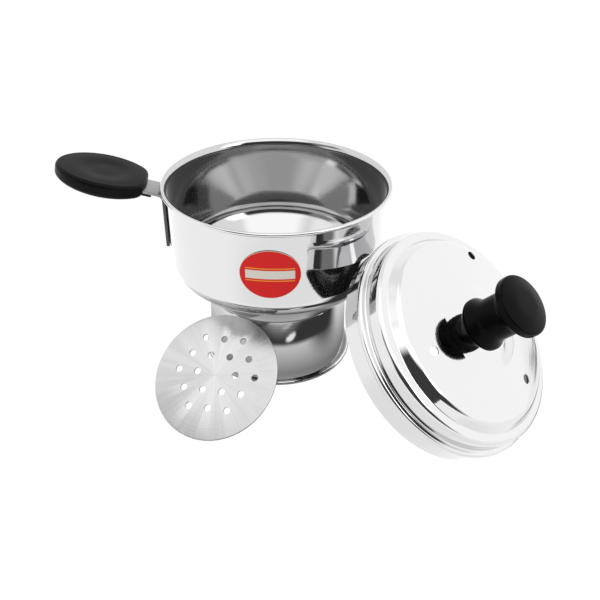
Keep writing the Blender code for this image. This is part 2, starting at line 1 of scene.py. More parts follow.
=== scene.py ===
"""Looks of the puttu maker: mirror polished pan, lid and plate with black moulded grip and knob.

Metres, +Z up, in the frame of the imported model. Every piece is built where its solid stands.
"""

from math import acos, asin, atan2, ceil, cos, exp, hypot, pi, radians, remainder, sin, tan, tau

import bmesh
import bpy
from mathutils import Matrix, Vector


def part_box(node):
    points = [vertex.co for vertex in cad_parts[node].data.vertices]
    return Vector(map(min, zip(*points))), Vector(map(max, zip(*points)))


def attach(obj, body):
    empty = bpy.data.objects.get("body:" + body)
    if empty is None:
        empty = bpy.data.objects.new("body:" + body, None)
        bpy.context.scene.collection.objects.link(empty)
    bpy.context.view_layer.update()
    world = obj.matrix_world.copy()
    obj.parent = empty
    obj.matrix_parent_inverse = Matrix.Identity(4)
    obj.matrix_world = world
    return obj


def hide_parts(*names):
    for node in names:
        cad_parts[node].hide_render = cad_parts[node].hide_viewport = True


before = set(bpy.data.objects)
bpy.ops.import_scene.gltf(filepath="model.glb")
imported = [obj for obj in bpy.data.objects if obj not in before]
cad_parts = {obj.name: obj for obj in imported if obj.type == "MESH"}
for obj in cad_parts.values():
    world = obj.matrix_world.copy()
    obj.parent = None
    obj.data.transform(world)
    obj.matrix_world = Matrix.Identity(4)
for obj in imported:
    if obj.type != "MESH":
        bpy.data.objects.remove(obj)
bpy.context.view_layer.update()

# Shared sizes, steps of arcs, and angles from which an edge stays sharp
GAP = 0.0003
SHEET = 0.0005
FINE_ARC = radians(9)
BEAD_ARC = radians(15)
BELLY_ARC = radians(3)
LID_ARC = radians(4)
PLATE_ARC = radians(30)
SHARP = radians(38)
GRIP_SHARP = radians(30)
PLATE_SHARP = radians(25)
WELD = 0.000001
JOIN_DISTANCE = 0.0000005
LEG_SHARE = 0.48

# Pan
BOWL_HEIGHT = 0.1122
WALL_RADIUS = 0.0620
RIM_OVERHANG = 0.0030
RIM_FLARE = 0.0045
RIM_BEAD = 0.0011
BELLY_CORNER_HEIGHT = 0.0637
BELLY_BEND = 0.0138
FLOOR_HEIGHT = 0.0362
FLOOR_RADIUS = 0.0340
FLOOR_BEND = 0.0050
STEAM_OPENING_RADIUS = 0.0150
FOOT_TOP_RADIUS = 0.0412
FOOT_BASE_RADIUS = 0.0419
FOOT_RIM_OVERHANG = 0.0032
FOOT_FLARE = 0.0150
FOOT_BEAD = 0.0013
FOOT_FLAT_ANGLE = radians(28)

# Handle
STRAP_WIDTH = 0.0155
STRAP_THICKNESS = 0.0019
STRAP_BOTTOM = 0.0730
STRAP_TOP = 0.1040
STRAP_BEND = 0.0030
STRAP_EDGE_BEND = 0.0003
STRAP_CORNER = radians(60)
TANG_LENGTH = 0.0260
HANDLE_RISE = radians(13.5)
GRIP_END_DISTANCE = 0.0094
GRIP_LENGTH = 0.0480
GRIP_WIDTH = 0.0412
GRIP_EDGE = 0.0074
GRIP_EDGE_BEND = 0.0022
GRIP_TOP_CROWN = 0.0012
GRIP_UNDER_CROWN = 0.0034
GRIP_END_CUT = 0.0030
GRIP_END_CORNER = 0.0040
GRIP_TANG_DROP = 0.0013
GRIP_RECESS_LENGTH = 0.0250
GRIP_RECESS_WIDTH = 0.0230
GRIP_RECESS_DEPTH = 0.0016
GRIP_LIP_LENGTH = 0.0032
GRIP_LIP_WIDTH = 0.0120
GRIP_LIP_THICKNESS = 0.0022
GRIP_LIP_BEND = 0.0007
GRIP_SCREW_INSET = 0.0110
GRIP_SCREW_RADIUS = 0.0019
GRIP_SCREW_HEAD_RADIUS = 0.0036
GRIP_SCREW_HEAD = 0.0016
GRIP_NUT_THICKNESS = 0.0024
SCREW_HEAD_BEND_SHARE = 0.7
SCREW_SEAT_BEND = 0.0002
SCREW_NECK_BEND = 0.0001
SCREW_END_BEND = 0.0003

# Slots of the screws as (share of the head's radius, share of its height)
SLOT = (1.0, 0.25)
CROSS = (0.6, 0.2)

# Oval sticker: rings as (share of its size, share of its thickness), print edges as shares of its half size
LABEL_AZIMUTH = radians(-91.7)
LABEL_HEIGHT = 0.0875
LABEL_WIDTH = 0.0320
LABEL_TALL = 0.0280
LABEL_THICKNESS = 0.0003
LABEL_RINGS = (
    (0.25, 1), (0.5, 1), (0.75, 1), (0.9, 1), (0.97, 1), (0.99, 0.93), (1.0, 0.7), (1.0, 0),
    (0.6, 0), (0.3, 0))
LABEL_BAND = 0.175
LABEL_LINE = (0.235, 0.275)
LABEL_BAND_END = 0.80
LABEL_CUT = 0.985
LABEL_REDS = ((0.60, 0.004, 0.004), (0.66, 0.008, 0.007))
LABEL_ORANGE = (0.80, 0.30, 0.02)
LABEL_CREAM = (0.66, 0.63, 0.56)
LABEL_CUT_COLOUR = (0.72, 0.50, 0.38)
LABEL_MIRRORED_GREY = 0.55

# Perforated plate
PLATE_RADIUS = 0.0364
PLATE_THICKNESS = 0.0009
PLATE_AZIMUTH = radians(-117.8)
PLATE_EDGE_BEND = 0.0002
PLATE_HOLE_RADIUS = 0.0020
PLATE_HOLE_PITCH = 0.0116
PLATE_HOLE_RINGS = 2
PLATE_PATTERN_SHIFT = 0.0015
PLATE_PATTERN_TURN = radians(41.6)

# Lid
LID_AZIMUTH = radians(-35.4)
LID_ELEVATION = radians(46.8)
LID_SKIRT_RADIUS = 0.0612
LID_SKIRT_DEPTH = 0.0125
LID_BEAD_RADIUS = 0.0630
LID_BEAD_HALF = 0.0016
LID_WALL_RADIUS = 0.0595
LID_SHOULDER_HEIGHT = 0.0116
LID_SHOULDER_BEND = 0.0042
LID_STEP_BEND = 0.0009
LID_SKIRT_BEND = 0.0006
LID_DOME_RADIUS = 0.0539
LID_DOME_STEP = 0.0046
LID_DOME_EDGE_INSET = 0.0036
LID_DOME_EDGE_BEND = 0.0050
LID_DOME_RISE = 0.0042
LID_DOME_MIDDLE_SHARE = 0.50
LID_DOME_BEND = 0.0900
LID_BOSS_BASE_RADIUS = 0.0245
LID_BOSS_TOP_RADIUS = 0.0150
LID_BOSS_RISE = 0.0024
LID_BOSS_BEND = 0.0080
LID_STRETCH = 0.0040
VENT_RADIUS = 0.0026
VENT_PLACES = (
    (0.0396, radians(13.4)),
    (0.0455, radians(128.9)),
    (0.0383, radians(-101.9)),
)

# Knob
KNOB_BASE_RADIUS = 0.0141
KNOB_BASE_EDGE = 0.0007
KNOB_WAIST_RADIUS = 0.0113
KNOB_WAIST_START = 0.0050
KNOB_WAIST_START_BEND = 0.0100
KNOB_WAIST_END = 0.0190
KNOB_WAIST_END_BEND = 0.0060
KNOB_CAP_RADIUS = 0.0160
KNOB_CAP_START = 0.0222
KNOB_CAP_START_BEND = 0.0008
KNOB_CAP_END = 0.0262
KNOB_CAP_END_BEND = 0.0014
KNOB_HEIGHT = 0.0280
KNOB_TOP_BEND = 0.0200
KNOB_INSERT_RADIUS = 0.0036
KNOB_INSERT_DEPTH = 0.0110
KNOB_SCREW_RADIUS = 0.0020
KNOB_SCREW_LENGTH = 0.0130
KNOB_SCREW_HEAD_RADIUS = 0.0040
KNOB_SCREW_HEAD = 0.0022
KNOB_WASHER_RADIUS = 0.0060
KNOB_WASHER_THICKNESS = 0.0010
KNOB_WASHER_BEND = 0.0002

# Mesh counts
SHEET_STEPS = 240
SMALL_STEPS = 64
HOLE_STEPS = 40
BORE_STEPS = 48
KNOB_STEPS = 160
GRIP_STEPS = 160
GRIP_RINGS = 26
GRIP_EDGE_STEPS = 8
LABEL_STEPS = 120

# Camera, worked out from the photograph's rim, foot and lid
CAMERA_FROM_PAN = Vector((0.01249, -0.37955, 0.28163))
CAMERA_PITCH = radians(33.398)
CAMERA_YAW = radians(0.190)
CAMERA_ROLL = radians(0.599)
CAMERA_LENS = 43.85

# Finishes: reflected shares, depths of the bumps in metres, roughness, some as (change, least)
STEEL_COLOUR = (0.64, 0.64, 0.645)
INSIDE_ROUGHNESS = 0.07
INSIDE_WAVE_DEPTH = 3.6
INSIDE_BOUNCES = 3
STEEL_HAZE = 0.10
STEEL_BUMP = 0.0001
STREAK_SHARE = 0.2
# Plate colours: the dark and light of its painted sheen rays
PLATE_PAINTED_SHEEN_GREYS = (0.50, 0.57)
PLATE_BUMP = 0.00004
# Strap colours: painted shade on the leg, then the tang
STRAP_PAINTED_SHADE_GREYS = (0.080, 0.27)
STRAP_LINES = Vector((60.0, 2600.0, 60.0))
STRAP_ROUGHNESS = (0.25, 0.14)
SMALL_BUMP = 0.00002
ZINC_COLOUR = (0.66, 0.66, 0.67)
NUT_COLOUR = (0.66, 0.60, 0.42)
BRASS_COLOUR = (0.72, 0.50, 0.22)
PLATING_DULL = 0.75
PLATING_ROUGHNESS = (0.2, 0.2)
RESIN_MOTTLE = 0.18

# Studio: light of the room and the floor, plain light to the camera, and soft cards as
# (azimuth, elevation, half width, half height, softness, light), in degrees
ROOM_LIGHT = 1.30
FLOOR_LIGHT = 1.28
PLAIN_LIGHT = 1.02
CARDS = (
    (90, 62, 75, 14, 0.4, 1.15),
    (-80, 62, 95, 16, 0.3, 1.90),
    (0, 90, 200, 15, 0.3, 1.60),
    (15, 28, 47, 32, 0.15, 1.39),
    (180, 44, 48, 24, 0.25, 1.35),
    (-86, 14, 51, 27, 0.15, 0.06),
    (-147, 31, 16, 12, 0.5, 0.35),
    (-36, 36, 11, 12, 0.3, 3.40),
    (-163, 54, 14, 9, 0.5, 1.60),
)

# What the steel mirrors of the floor, painted shade and painted light: round the foot as (inner radius, outer
# radius, light at each), an arc round the pan as (radius, half depth, bearing, half turn, softness, light),
# and dark or pale ovals as (x, y, half width, half depth, softness, light)
FLOOR_HALF = 3.0
FLOOR_DROP = 0.0005
OPEN_FLOOR_WIDTH = 0.030
FOOT_SHADE = (0.043, 0.083, 0.16, 0.85)
PAN_SHADE = (0.095, 0.013, -75, 57, 0.25, 0.05)
FLOOR_SHADES = (
    (0.02, -0.15, 0.14, 0.07, 0.4, 1.12),
    (0.11, -0.015, 0.065, 0.05, 0.3, 0.05),
    (0.015, -0.0555, 0.010, 0.0035, 0.4, 1.2),
    (0.012, -0.0700, 0.014, 0.0022, 0.4, 0.6),
    (0.82, 0.32, 0.20, 0.09, 0.4, 0.36),
    (1.22, 0.56, 0.22, 0.14, 0.4, 0.42),
)

# Heights and slopes that follow from the sizes above
BELLY_SLOPE = (BELLY_CORNER_HEIGHT - FLOOR_HEIGHT) / (WALL_RADIUS - FLOOR_RADIUS)
BELLY_GAP_DROP = GAP * hypot(1, BELLY_SLOPE)
LID_DOME_EDGE_HEIGHT = LID_SHOULDER_HEIGHT + LID_DOME_STEP
LID_BOSS_HEIGHT = LID_DOME_EDGE_HEIGHT + LID_DOME_RISE + LID_BOSS_RISE
GRIP_SCREW_SEAT = -GRIP_EDGE / 2 - GRIP_UNDER_CROWN + GRIP_SCREW_HEAD + GAP
STRAP_START = Vector((WALL_RADIUS + GAP + STRAP_THICKNESS, STRAP_TOP))

# The point on the ground under the pan's axis: the foot ring's middle
foot_middle = sum(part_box("foot_ring"), Vector()) / 2
PAN = Matrix.Translation((foot_middle.x, foot_middle.y, 0))


# Outlines

def arc(centre, radius, start, end, step):
    count = max(1, ceil(abs(end - start) / step))
    angles = [start + (end - start) * index / count for index in range(count + 1)]
    return [centre + radius * Vector((cos(angle), sin(angle))) for angle in angles]


def rounded(corners, step=FINE_ARC):
    """A line through (x, y, bend) corners, each turned by an arc that its two legs can hold."""
    points = [Vector(corner[:2]) for corner in corners]
    line = [points[0]]
    for index in range(1, len(points) - 1):
        corner = points[index]
        back = points[index - 1] - corner
        ahead = points[index + 1] - corner
        opening = back.angle(ahead)
        longest = LEG_SHARE * min(back.length, ahead.length)
        leg = min(corners[index][2] / tan(opening / 2), longest)
        bend = leg * tan(opening / 2)
        middle = (back.normalized() + ahead.normalized()).normalized()
        centre = corner + middle * hypot(leg, bend)
        first = corner + back.normalized() * leg - centre
        last = corner + ahead.normalized() * leg - centre
        start = atan2(first.y, first.x)
        sweep = remainder(atan2(last.y, last.x) - start, tau)
        line.extend(arc(centre, bend, start, start + sweep, step))
    line.append(points[-1])
    return line


def offset(line, distance):
    """The line moved to its left, with the same corners."""
    moved = []
    for index, point in enumerate(line):
        before = line[max(index - 1, 0)]
        after = line[min(index + 1, len(line) - 1)]
        normals = []
        for first, last in ((before, point), (point, after)):
            if first != last:
                run = (last - first).normalized()
                normals.append(Vector((-run.y, run.x)))
        middle = (normals[0] + normals[-1]).normalized()
        moved.append(point + middle * distance / middle.dot(normals[0]))
    return moved


def rolled_edge(wall_radius, overhang, flare, bead):
    """Flare and bead that end a turned wall, as (radius, height) with the edge's top at height 0."""
    reach = flare + SHEET - bead
    turn = acos((flare + bead - overhang) / reach)
    meet = acos((reach ** 2 + flare ** 2 - bead ** 2) / (2 * reach * flare))
    flare_centre = Vector((wall_radius + flare, -bead - reach * sin(turn)))
    bead_centre = flare_centre + reach * Vector((-cos(turn), sin(turn)))
    outside = arc(flare_centre, flare, pi, pi - turn + meet, FINE_ARC)
    contact = outside[-1] - bead_centre
    start = atan2(contact.y, contact.x)
    roll = arc(bead_centre, bead, start, pi - turn, BEAD_ARC)
    inside = arc(flare_centre, flare + SHEET, pi - turn, pi, FINE_ARC)
    return outside + roll[1:-1] + inside


def split(line, longest):
    """The same line with extra points, so that no stretch is longer than that."""
    fine = [line[0]]
    for point in line[1:]:
        start = fine[-1]
        count = max(1, ceil((point - start).length / longest))
        fine.extend(start.lerp(point, (index + 1) / count) for index in range(count))
    return fine


# Node trees

def feed(tree, socket, value):
    """Link a socket to another one, or give it a constant."""
    if isinstance(value, bpy.types.NodeSocket):
        tree.links.new(value, socket)
    else:
        socket.default_value = value


def node(tree, kind, inputs=None, **settings):
    """Add a node. Inputs are named or numbered, and each value is a socket or a constant."""
    made = tree.nodes.new(kind)
    for name, value in settings.items():
        setattr(made, name, value)
    for name, value in (inputs or {}).items():
        feed(tree, made.inputs[name], value)
    return made


def sums(tree, operation, *values):
    """A Math node's result."""
    return node(tree, "ShaderNodeMath", dict(enumerate(values)), operation=operation).outputs[0]


def vectors(tree, operation, *values, result=0):
    """A Vector Math node's result."""
    return node(tree, "ShaderNodeVectorMath", dict(enumerate(values)), operation=operation).outputs[result]


def parts_of(tree, vector):
    """The X, Y and Z sockets of a vector."""
    return node(tree, "ShaderNodeSeparateXYZ", {0: vector}).outputs


def joined(tree, x, y=0.0):
    """A vector of two parts."""
    return node(tree, "ShaderNodeCombineXYZ", {"X": x, "Y": y}).outputs[0]


def from_axis(tree, vector):
    """The part of a vector that points away from the Z axis."""
    return vectors(tree, "MULTIPLY", vector, Vector((1, 1, 0)))


def length_of(tree, vector):
    return vectors(tree, "LENGTH", vector, result="Value")


def position(tree):
    return node(tree, "GeometryNodeInputPosition").outputs[0]


def new_tree(name, kind, inputs, outputs):
    """A node group, and its input and output nodes. An input is a default value or a socket's kind."""
    tree = bpy.data.node_groups.new(name, kind)
    kinds = {float: "Float", int: "Int", tuple: "Color"}
    for label, value in inputs.items():
        socket = "NodeSocket" + kinds.get(type(value), str(value))
        made = tree.interface.new_socket(label, in_out="INPUT", socket_type=socket)
        if not isinstance(value, str):
            made.default_value = value
    for label, socket in outputs.items():
        tree.interface.new_socket(label, in_out="OUTPUT", socket_type="NodeSocket" + socket)
    return tree, tree.nodes.new("NodeGroupInput").outputs, tree.nodes.new("NodeGroupOutput").inputs


def geometry_tree(name, inputs):
    """A geometry node group that makes one geometry."""
    tree, given, result = new_tree(name, "GeometryNodeTree", inputs, {"Geometry": "Geometry"})
    tree.is_modifier = True
    return tree, given, result


def realized(tree, geometry, finish, result):
    """The end of a geometry tree: real geometry in its material."""
    real = node(tree, "GeometryNodeRealizeInstances", {"Geometry": geometry})
    finished = node(tree, "GeometryNodeSetMaterial", {"Geometry": real.outputs[0], "Material": finish})
    tree.links.new(finished.outputs[0], result[0])


def plain_result(made, modifier):
    """Evaluate a piece with one modifier, keep the plain mesh and take the modifier off."""
    bpy.context.view_layer.update()
    graph = bpy.context.evaluated_depsgraph_get()
    result = bpy.data.meshes.new_from_object(made.evaluated_get(graph))
    made.modifiers.remove(modifier)
    made.data = result


def grown(made, group_name, values):
    """Run a geometry tree on an object once and keep the plain result."""
    tree = bpy.data.node_groups[group_name]
    modifier = made.modifiers.new(tree.name, "NODES")
    modifier.node_group = tree
    for socket in tree.interface.items_tree:
        if socket.in_out == "INPUT" and socket.name in values:
            modifier[socket.identifier] = values[socket.name]
    plain_result(made, modifier)
    made.data.name = made.name
    return made


def turning_tree():
    """Turns a profile, given as a row of points (radius, 0, height), round the Z axis."""
    tree, given, result = geometry_tree("turned sheet", {
        "Profile": "Geometry", "Points": 2, "Steps": SHEET_STEPS, "Weld": WELD, "Finish": "Material"})
    grid = node(tree, "GeometryNodeMeshGrid", {
        "Size X": 1.0, "Size Y": 1.0, "Vertices X": sums(tree, "ADD", given["Steps"], 1.0),
        "Vertices Y": given["Points"]})
    place = parts_of(tree, position(tree))
    share = sums(tree, "ADD", place["Y"], 0.5)
    last = sums(tree, "SUBTRACT", given["Points"], 1.0)
    sample = node(tree, "GeometryNodeSampleIndex", {
        "Geometry": given["Profile"], "Value": position(tree),
        "Index": sums(tree, "ROUND", sums(tree, "MULTIPLY", share, last)),
    }, data_type="FLOAT_VECTOR", domain="POINT")
    turned = node(tree, "ShaderNodeVectorRotate", {
        "Vector": sample.outputs[0], "Angle": sums(tree, "MULTIPLY", place["X"], tau),
    }, rotation_type="Z_AXIS")
    moved = node(tree, "GeometryNodeSetPosition", {
        "Geometry": grid.outputs["Mesh"], "Position": turned.outputs[0]})
    welded = node(tree, "GeometryNodeMergeByDistance", {
        "Geometry": moved.outputs[0], "Distance": given["Weld"]})
    realized(tree, welded.outputs[0], given["Finish"], result)


def punching_tree():
    """Punches a round hole at each point of another object, through both faces of a sheet."""
    tree, given, result = geometry_tree("punched holes", {
        "Sheet": "Geometry", "Places": "Object", "Radius": 0.002, "Reach": 0.01, "Steps": HOLE_STEPS,
        "Finish": "Material"})
    places = node(tree, "GeometryNodeObjectInfo", {"Object": given["Places"]}, transform_space="ORIGINAL")
    cutter = node(tree, "GeometryNodeMeshCylinder", {
        "Vertices": given["Steps"], "Radius": given["Radius"], "Depth": given["Reach"]})
    copies = node(tree, "GeometryNodeInstanceOnPoints", {
        "Points": places.outputs["Geometry"], "Instance": cutter.outputs["Mesh"]})
    cutters = node(tree, "GeometryNodeRealizeInstances", {"Geometry": copies.outputs[0]})
    cut = node(tree, "GeometryNodeMeshBoolean", {
        "Mesh 1": given["Sheet"], "Mesh 2": cutters.outputs[0]}, operation="DIFFERENCE", solver="EXACT")
    realized(tree, cut.outputs[0], given["Finish"], result)


def lattice_tree():
    """Places of the plate's holes: a triangular lattice cut to a hexagon, its middle left whole."""
    tree, given, result = geometry_tree("hole lattice", {
        "Geometry": "Geometry", "Pitch": 0.01, "Rings": 2, "Turn": 0.0, "Shift": 0.0})
    across = sums(tree, "MULTIPLY", given["Rings"], 2.0)
    count = sums(tree, "ADD", across, 1.0)
    grid = node(tree, "GeometryNodeMeshGrid", {
        "Size X": across, "Size Y": across, "Vertices X": count, "Vertices Y": count})
    place = parts_of(tree, position(tree))
    column = sums(tree, "ROUND", place["X"])
    row = sums(tree, "ROUND", place["Y"])
    outside = sums(tree, "GREATER_THAN", sums(tree, "ABSOLUTE", sums(tree, "ADD", column, row)),
                   sums(tree, "ADD", given["Rings"], 0.5))
    spread = sums(tree, "ADD", sums(tree, "ABSOLUTE", column), sums(tree, "ABSOLUTE", row))
    dropped = sums(tree, "MAXIMUM", outside, sums(tree, "LESS_THAN", spread, 0.5))
    flat = joined(tree, sums(tree, "ADD", column, sums(tree, "MULTIPLY", row, 0.5)),
                  sums(tree, "MULTIPLY", row, sin(radians(60))))
    scaled = node(tree, "ShaderNodeVectorMath", {0: flat, "Scale": given["Pitch"]}, operation="SCALE")
    turned = node(tree, "ShaderNodeVectorRotate", {
        "Vector": scaled.outputs[0], "Angle": given["Turn"]}, rotation_type="Z_AXIS")
    placed = vectors(tree, "SUBTRACT", turned.outputs[0], joined(tree, given["Shift"]))
    kept = node(tree, "GeometryNodeDeleteGeometry", {
        "Geometry": grid.outputs["Mesh"], "Selection": dropped}, domain="POINT")
    moved = node(tree, "GeometryNodeSetPosition", {"Geometry": kept.outputs[0], "Position": placed})
    real = node(tree, "GeometryNodeRealizeInstances", {"Geometry": moved.outputs[0]})
    tree.links.new(real.outputs[0], result[0])


# Finishes

def shader(name, **values):
    """A material whose plain values sit on its Principled shader's own sockets."""
    made = bpy.data.materials.new(name)
    made.use_nodes = True
    principled = made.node_tree.nodes["Principled BSDF"]
    for label, value in values.items():
        principled.inputs[label.replace("_", " ")].default_value = value
    return made, made.node_tree, principled


def object_place(tree):
    return node(tree, "ShaderNodeTexCoord").outputs["Object"]


def turned_into(tree, vector, pose, shift=(0, 0, 0)):
    """A vector seen from a piece's own pose."""
    return node(tree, "ShaderNodeMapping", {
        "Vector": vector, "Location": shift, "Rotation": Vector(pose.inverted().to_euler()),
    }, vector_type="POINT").outputs[0]


def centred(tree, pose):
    """Object coordinates seen from a piece's own pose: its axis becomes Z through the origin."""
    return turned_into(tree, object_place(tree), pose, pose.inverted().translation)


def noise(tree, place, scale, detail, roughness=0.5):
    return node(tree, "ShaderNodeTexNoise", {
        "Vector": place, "Scale": scale, "Detail": detail, "Roughness": roughness}).outputs[0]


def ranged(tree, value, low, high, to_low=0.0, to_high=1.0, kind="LINEAR"):
    """A value between low and high, mapped to another range."""
    return node(tree, "ShaderNodeMapRange", {
        "Value": value, "From Min": low, "From Max": high, "To Min": to_low, "To Max": to_high,
    }, interpolation_type=kind).outputs[0]


def blended(tree, share, under, over):
    """A value that turns from under to over as the share goes from 0 to 1."""
    return node(tree, "ShaderNodeMix", {0: share, 2: under, 3: over}, data_type="FLOAT").outputs[0]


def colour_of(value):
    """A grey or three parts as a full colour."""
    return (value, value, value, 1) if isinstance(value, float) else (*value, 1)


def tinted(tree, share, under, over):
    """A colour that turns from under to over; each is a socket, a grey or three parts."""
    sides = [side if isinstance(side, bpy.types.NodeSocket) else colour_of(side) for side in (under, over)]
    return node(tree, "ShaderNodeMix", {0: share, 6: sides[0], 7: sides[1]}, data_type="RGBA").outputs[2]


def polish_group():
    """Buffed sheet: faint turning lines round the axis, slight waves and a little haze."""
    tree, given, result = new_tree("polished sheet", "ShaderNodeTree", {
        "Place": "Vector", "Line scale": 900.0, "Line depth": 0.1, "Wave scale": 30.0, "Wave depth": 0.5,
        "Rough": 0.05, "Haze": 0.05}, {"Height": "Float", "Roughness": "Float"})
    place = given["Place"]
    around = joined(tree, length_of(tree, from_axis(tree, place)), parts_of(tree, place)["Z"])
    lines = noise(tree, around, given["Line scale"], detail=1.0)
    waves = noise(tree, place, given["Wave scale"], detail=1.0, roughness=0.4)
    haze = noise(tree, place, scale=45.0, detail=3.0, roughness=0.6)
    fine = sums(tree, "MULTIPLY", lines, given["Line depth"])
    height = sums(tree, "MULTIPLY_ADD", waves, given["Wave depth"], fine)
    lifted = sums(tree, "MAXIMUM", sums(tree, "SUBTRACT", haze, 0.5), 0.0)
    rough = sums(tree, "MULTIPLY_ADD", lifted, given["Haze"], given["Rough"])
    streaks = sums(tree, "MULTIPLY", lines, sums(tree, "MULTIPLY", given["Haze"], STREAK_SHARE))
    tree.links.new(height, result["Height"])
    tree.links.new(sums(tree, "ADD", rough, streaks), result["Roughness"])


def grain_group():
    """Moulded resin: fine dull grain with a few lighter rubbed specks."""
    tree, given, result = new_tree("moulded resin", "ShaderNodeTree", {
        "Place": "Vector", "Dark": colour_of(0.01), "Light": colour_of(0.03), "Rough": 0.4,
        "Grain scale": 1800.0}, {"Color": "Color", "Roughness": "Float", "Height": "Float"})
    grain = noise(tree, given["Place"], given["Grain scale"], detail=2.0)
    clouds = noise(tree, given["Place"], scale=60.0, detail=3.0, roughness=0.6)
    rough = sums(tree, "MULTIPLY_ADD", sums(tree, "SUBTRACT", clouds, 0.5), RESIN_MOTTLE, given["Rough"])
    colour = tinted(tree, clouds, given["Dark"], given["Light"])
    for label, value in (("Color", colour), ("Roughness", rough), ("Height", grain)):
        tree.links.new(value, result[label])


def group(tree, name, inputs):
    return node(tree, "ShaderNodeGroup", inputs, node_tree=bpy.data.node_groups[name]).outputs


def surfaced(tree, principled, colour, roughness, height, distance):
    """Feed a colour, a roughness and a bump of so many metres to a shader."""
    bump = node(tree, "ShaderNodeBump", {"Height": height, "Distance": distance, "Strength": 1.0})
    for label, value in (("Base Color", colour), ("Roughness", roughness), ("Normal", bump.outputs[0])):
        tree.links.new(value, principled.inputs[label])


def polished_steel(name, pose, rough, line_depth, wave_scale, wave_depth, axial, inside_painted_shade_grey, deep_painted_glow):
    """Buffed sheet, rougher inside and darker there as painted shade.
    Outside normals lean to the radius plus so much of the axis.

    Reflections that have already bounced several times between inside walls end in an even painted glow.
    """
    made, tree, principled = shader(name, Metallic=1.0, Emission_Strength=1.0)
    place = centred(tree, pose)
    radial = vectors(tree, "NORMALIZE", from_axis(tree, place))
    outwards = vectors(tree, "ADD", radial, Vector((0, 0, axial)))
    upright = turned_into(tree, node(tree, "ShaderNodeNewGeometry").outputs["Normal"], pose)
    facing = vectors(tree, "DOT_PRODUCT", outwards, upright, result="Value")
    inner = sums(tree, "LESS_THAN", facing, 0.0)
    ray_depth = node(tree, "ShaderNodeLightPath").outputs["Ray Depth"]
    deep = sums(tree, "MULTIPLY", inner, sums(tree, "GREATER_THAN", ray_depth, INSIDE_BOUNCES - 0.5))
    # Painted shade: inside faces get a darker colour than outside; painted glow: deep bounces there end in
    # flat emitted light
    colour = tinted(tree, deep, tinted(tree, inner, STEEL_COLOUR, inside_painted_shade_grey), 0.0)
    tree.links.new(tinted(tree, deep, 0.0, deep_painted_glow), principled.inputs["Emission Color"])
    outputs = group(tree, "polished sheet", {
        "Place": place, "Line depth": line_depth, "Wave scale": wave_scale,
        "Wave depth": blended(tree, inner, wave_depth, INSIDE_WAVE_DEPTH),
        "Rough": blended(tree, inner, rough, INSIDE_ROUGHNESS), "Haze": STEEL_HAZE})
    surfaced(tree, principled, colour, outputs["Roughness"], outputs["Height"], STEEL_BUMP)
    return made


def resin(name, pose, dark, light, rough, depth, shine):
    """Moulded black resin, from a dark to a lighter grey."""
    made, tree, principled = shader(name, Metallic=0.0, IOR=1.5, Specular_IOR_Level=shine)
    outputs = group(tree, "moulded resin", {
        "Place": centred(tree, pose), "Dark": colour_of(dark), "Light": colour_of(light), "Rough": rough})
    surfaced(tree, principled, outputs["Color"], outputs["Roughness"], outputs["Height"], depth)
    return made


def plate_steel(pose):
    """Sheet ground on a turntable, with painted sheen: rays of lighter and darker colour run out from its
    middle.
    """
    made, tree, principled = shader("ground plate steel", Metallic=1.0, Anisotropic=0.7)
    place = centred(tree, pose)
    heading = vectors(tree, "NORMALIZE", from_axis(tree, place))
    # Painted sheen: lighter and darker rays round the middle, set in the colour
    rays = ranged(tree, noise(tree, heading, scale=6.0, detail=3.0, roughness=0.65), low=0.3, high=0.7)
    outputs = group(tree, "polished sheet", {
        "Place": place, "Line depth": 0.6, "Wave scale": 60.0, "Wave depth": 0.8,
        "Rough": 0.22, "Haze": 0.25})
    colour = tinted(tree, rays, *PLATE_PAINTED_SHEEN_GREYS)
    surfaced(tree, principled, colour, outputs["Roughness"], outputs["Height"], PLATE_BUMP)
    return made


def strap_steel():
    """Strip brushed along its length, its leg darkened with painted shade under the rim."""
    made, tree, principled = shader("brushed strip", Metallic=1.0)
    place = object_place(tree)
    # Painted shade: below the bend the strip is given a darker colour than the tang
    shaded = ranged(tree, parts_of(tree, place)["Z"], STRAP_TOP - STRAP_BEND, STRAP_TOP + STRAP_BEND)
    stretched = node(tree, "ShaderNodeMapping", {"Vector": place, "Scale": STRAP_LINES}).outputs[0]
    lines = noise(tree, stretched, scale=1.0, detail=2.0)
    rough = sums(tree, "MULTIPLY_ADD", lines, *STRAP_ROUGHNESS)
    surfaced(tree, principled, tinted(tree, shaded, *STRAP_PAINTED_SHADE_GREYS), rough, lines, SMALL_BUMP)
    return made


def plated_steel(name, colour):
    """Small turned parts with a thin bright plating."""
    made, tree, principled = shader(name, Metallic=1.0)
    spots = noise(tree, object_place(tree), scale=900.0, detail=3.0)
    dull = [PLATING_DULL * part for part in colour]
    rough = sums(tree, "MULTIPLY_ADD", spots, *PLATING_ROUGHNESS)
    surfaced(tree, principled, tinted(tree, spots, dull, colour), rough, spots, SMALL_BUMP)
    return made


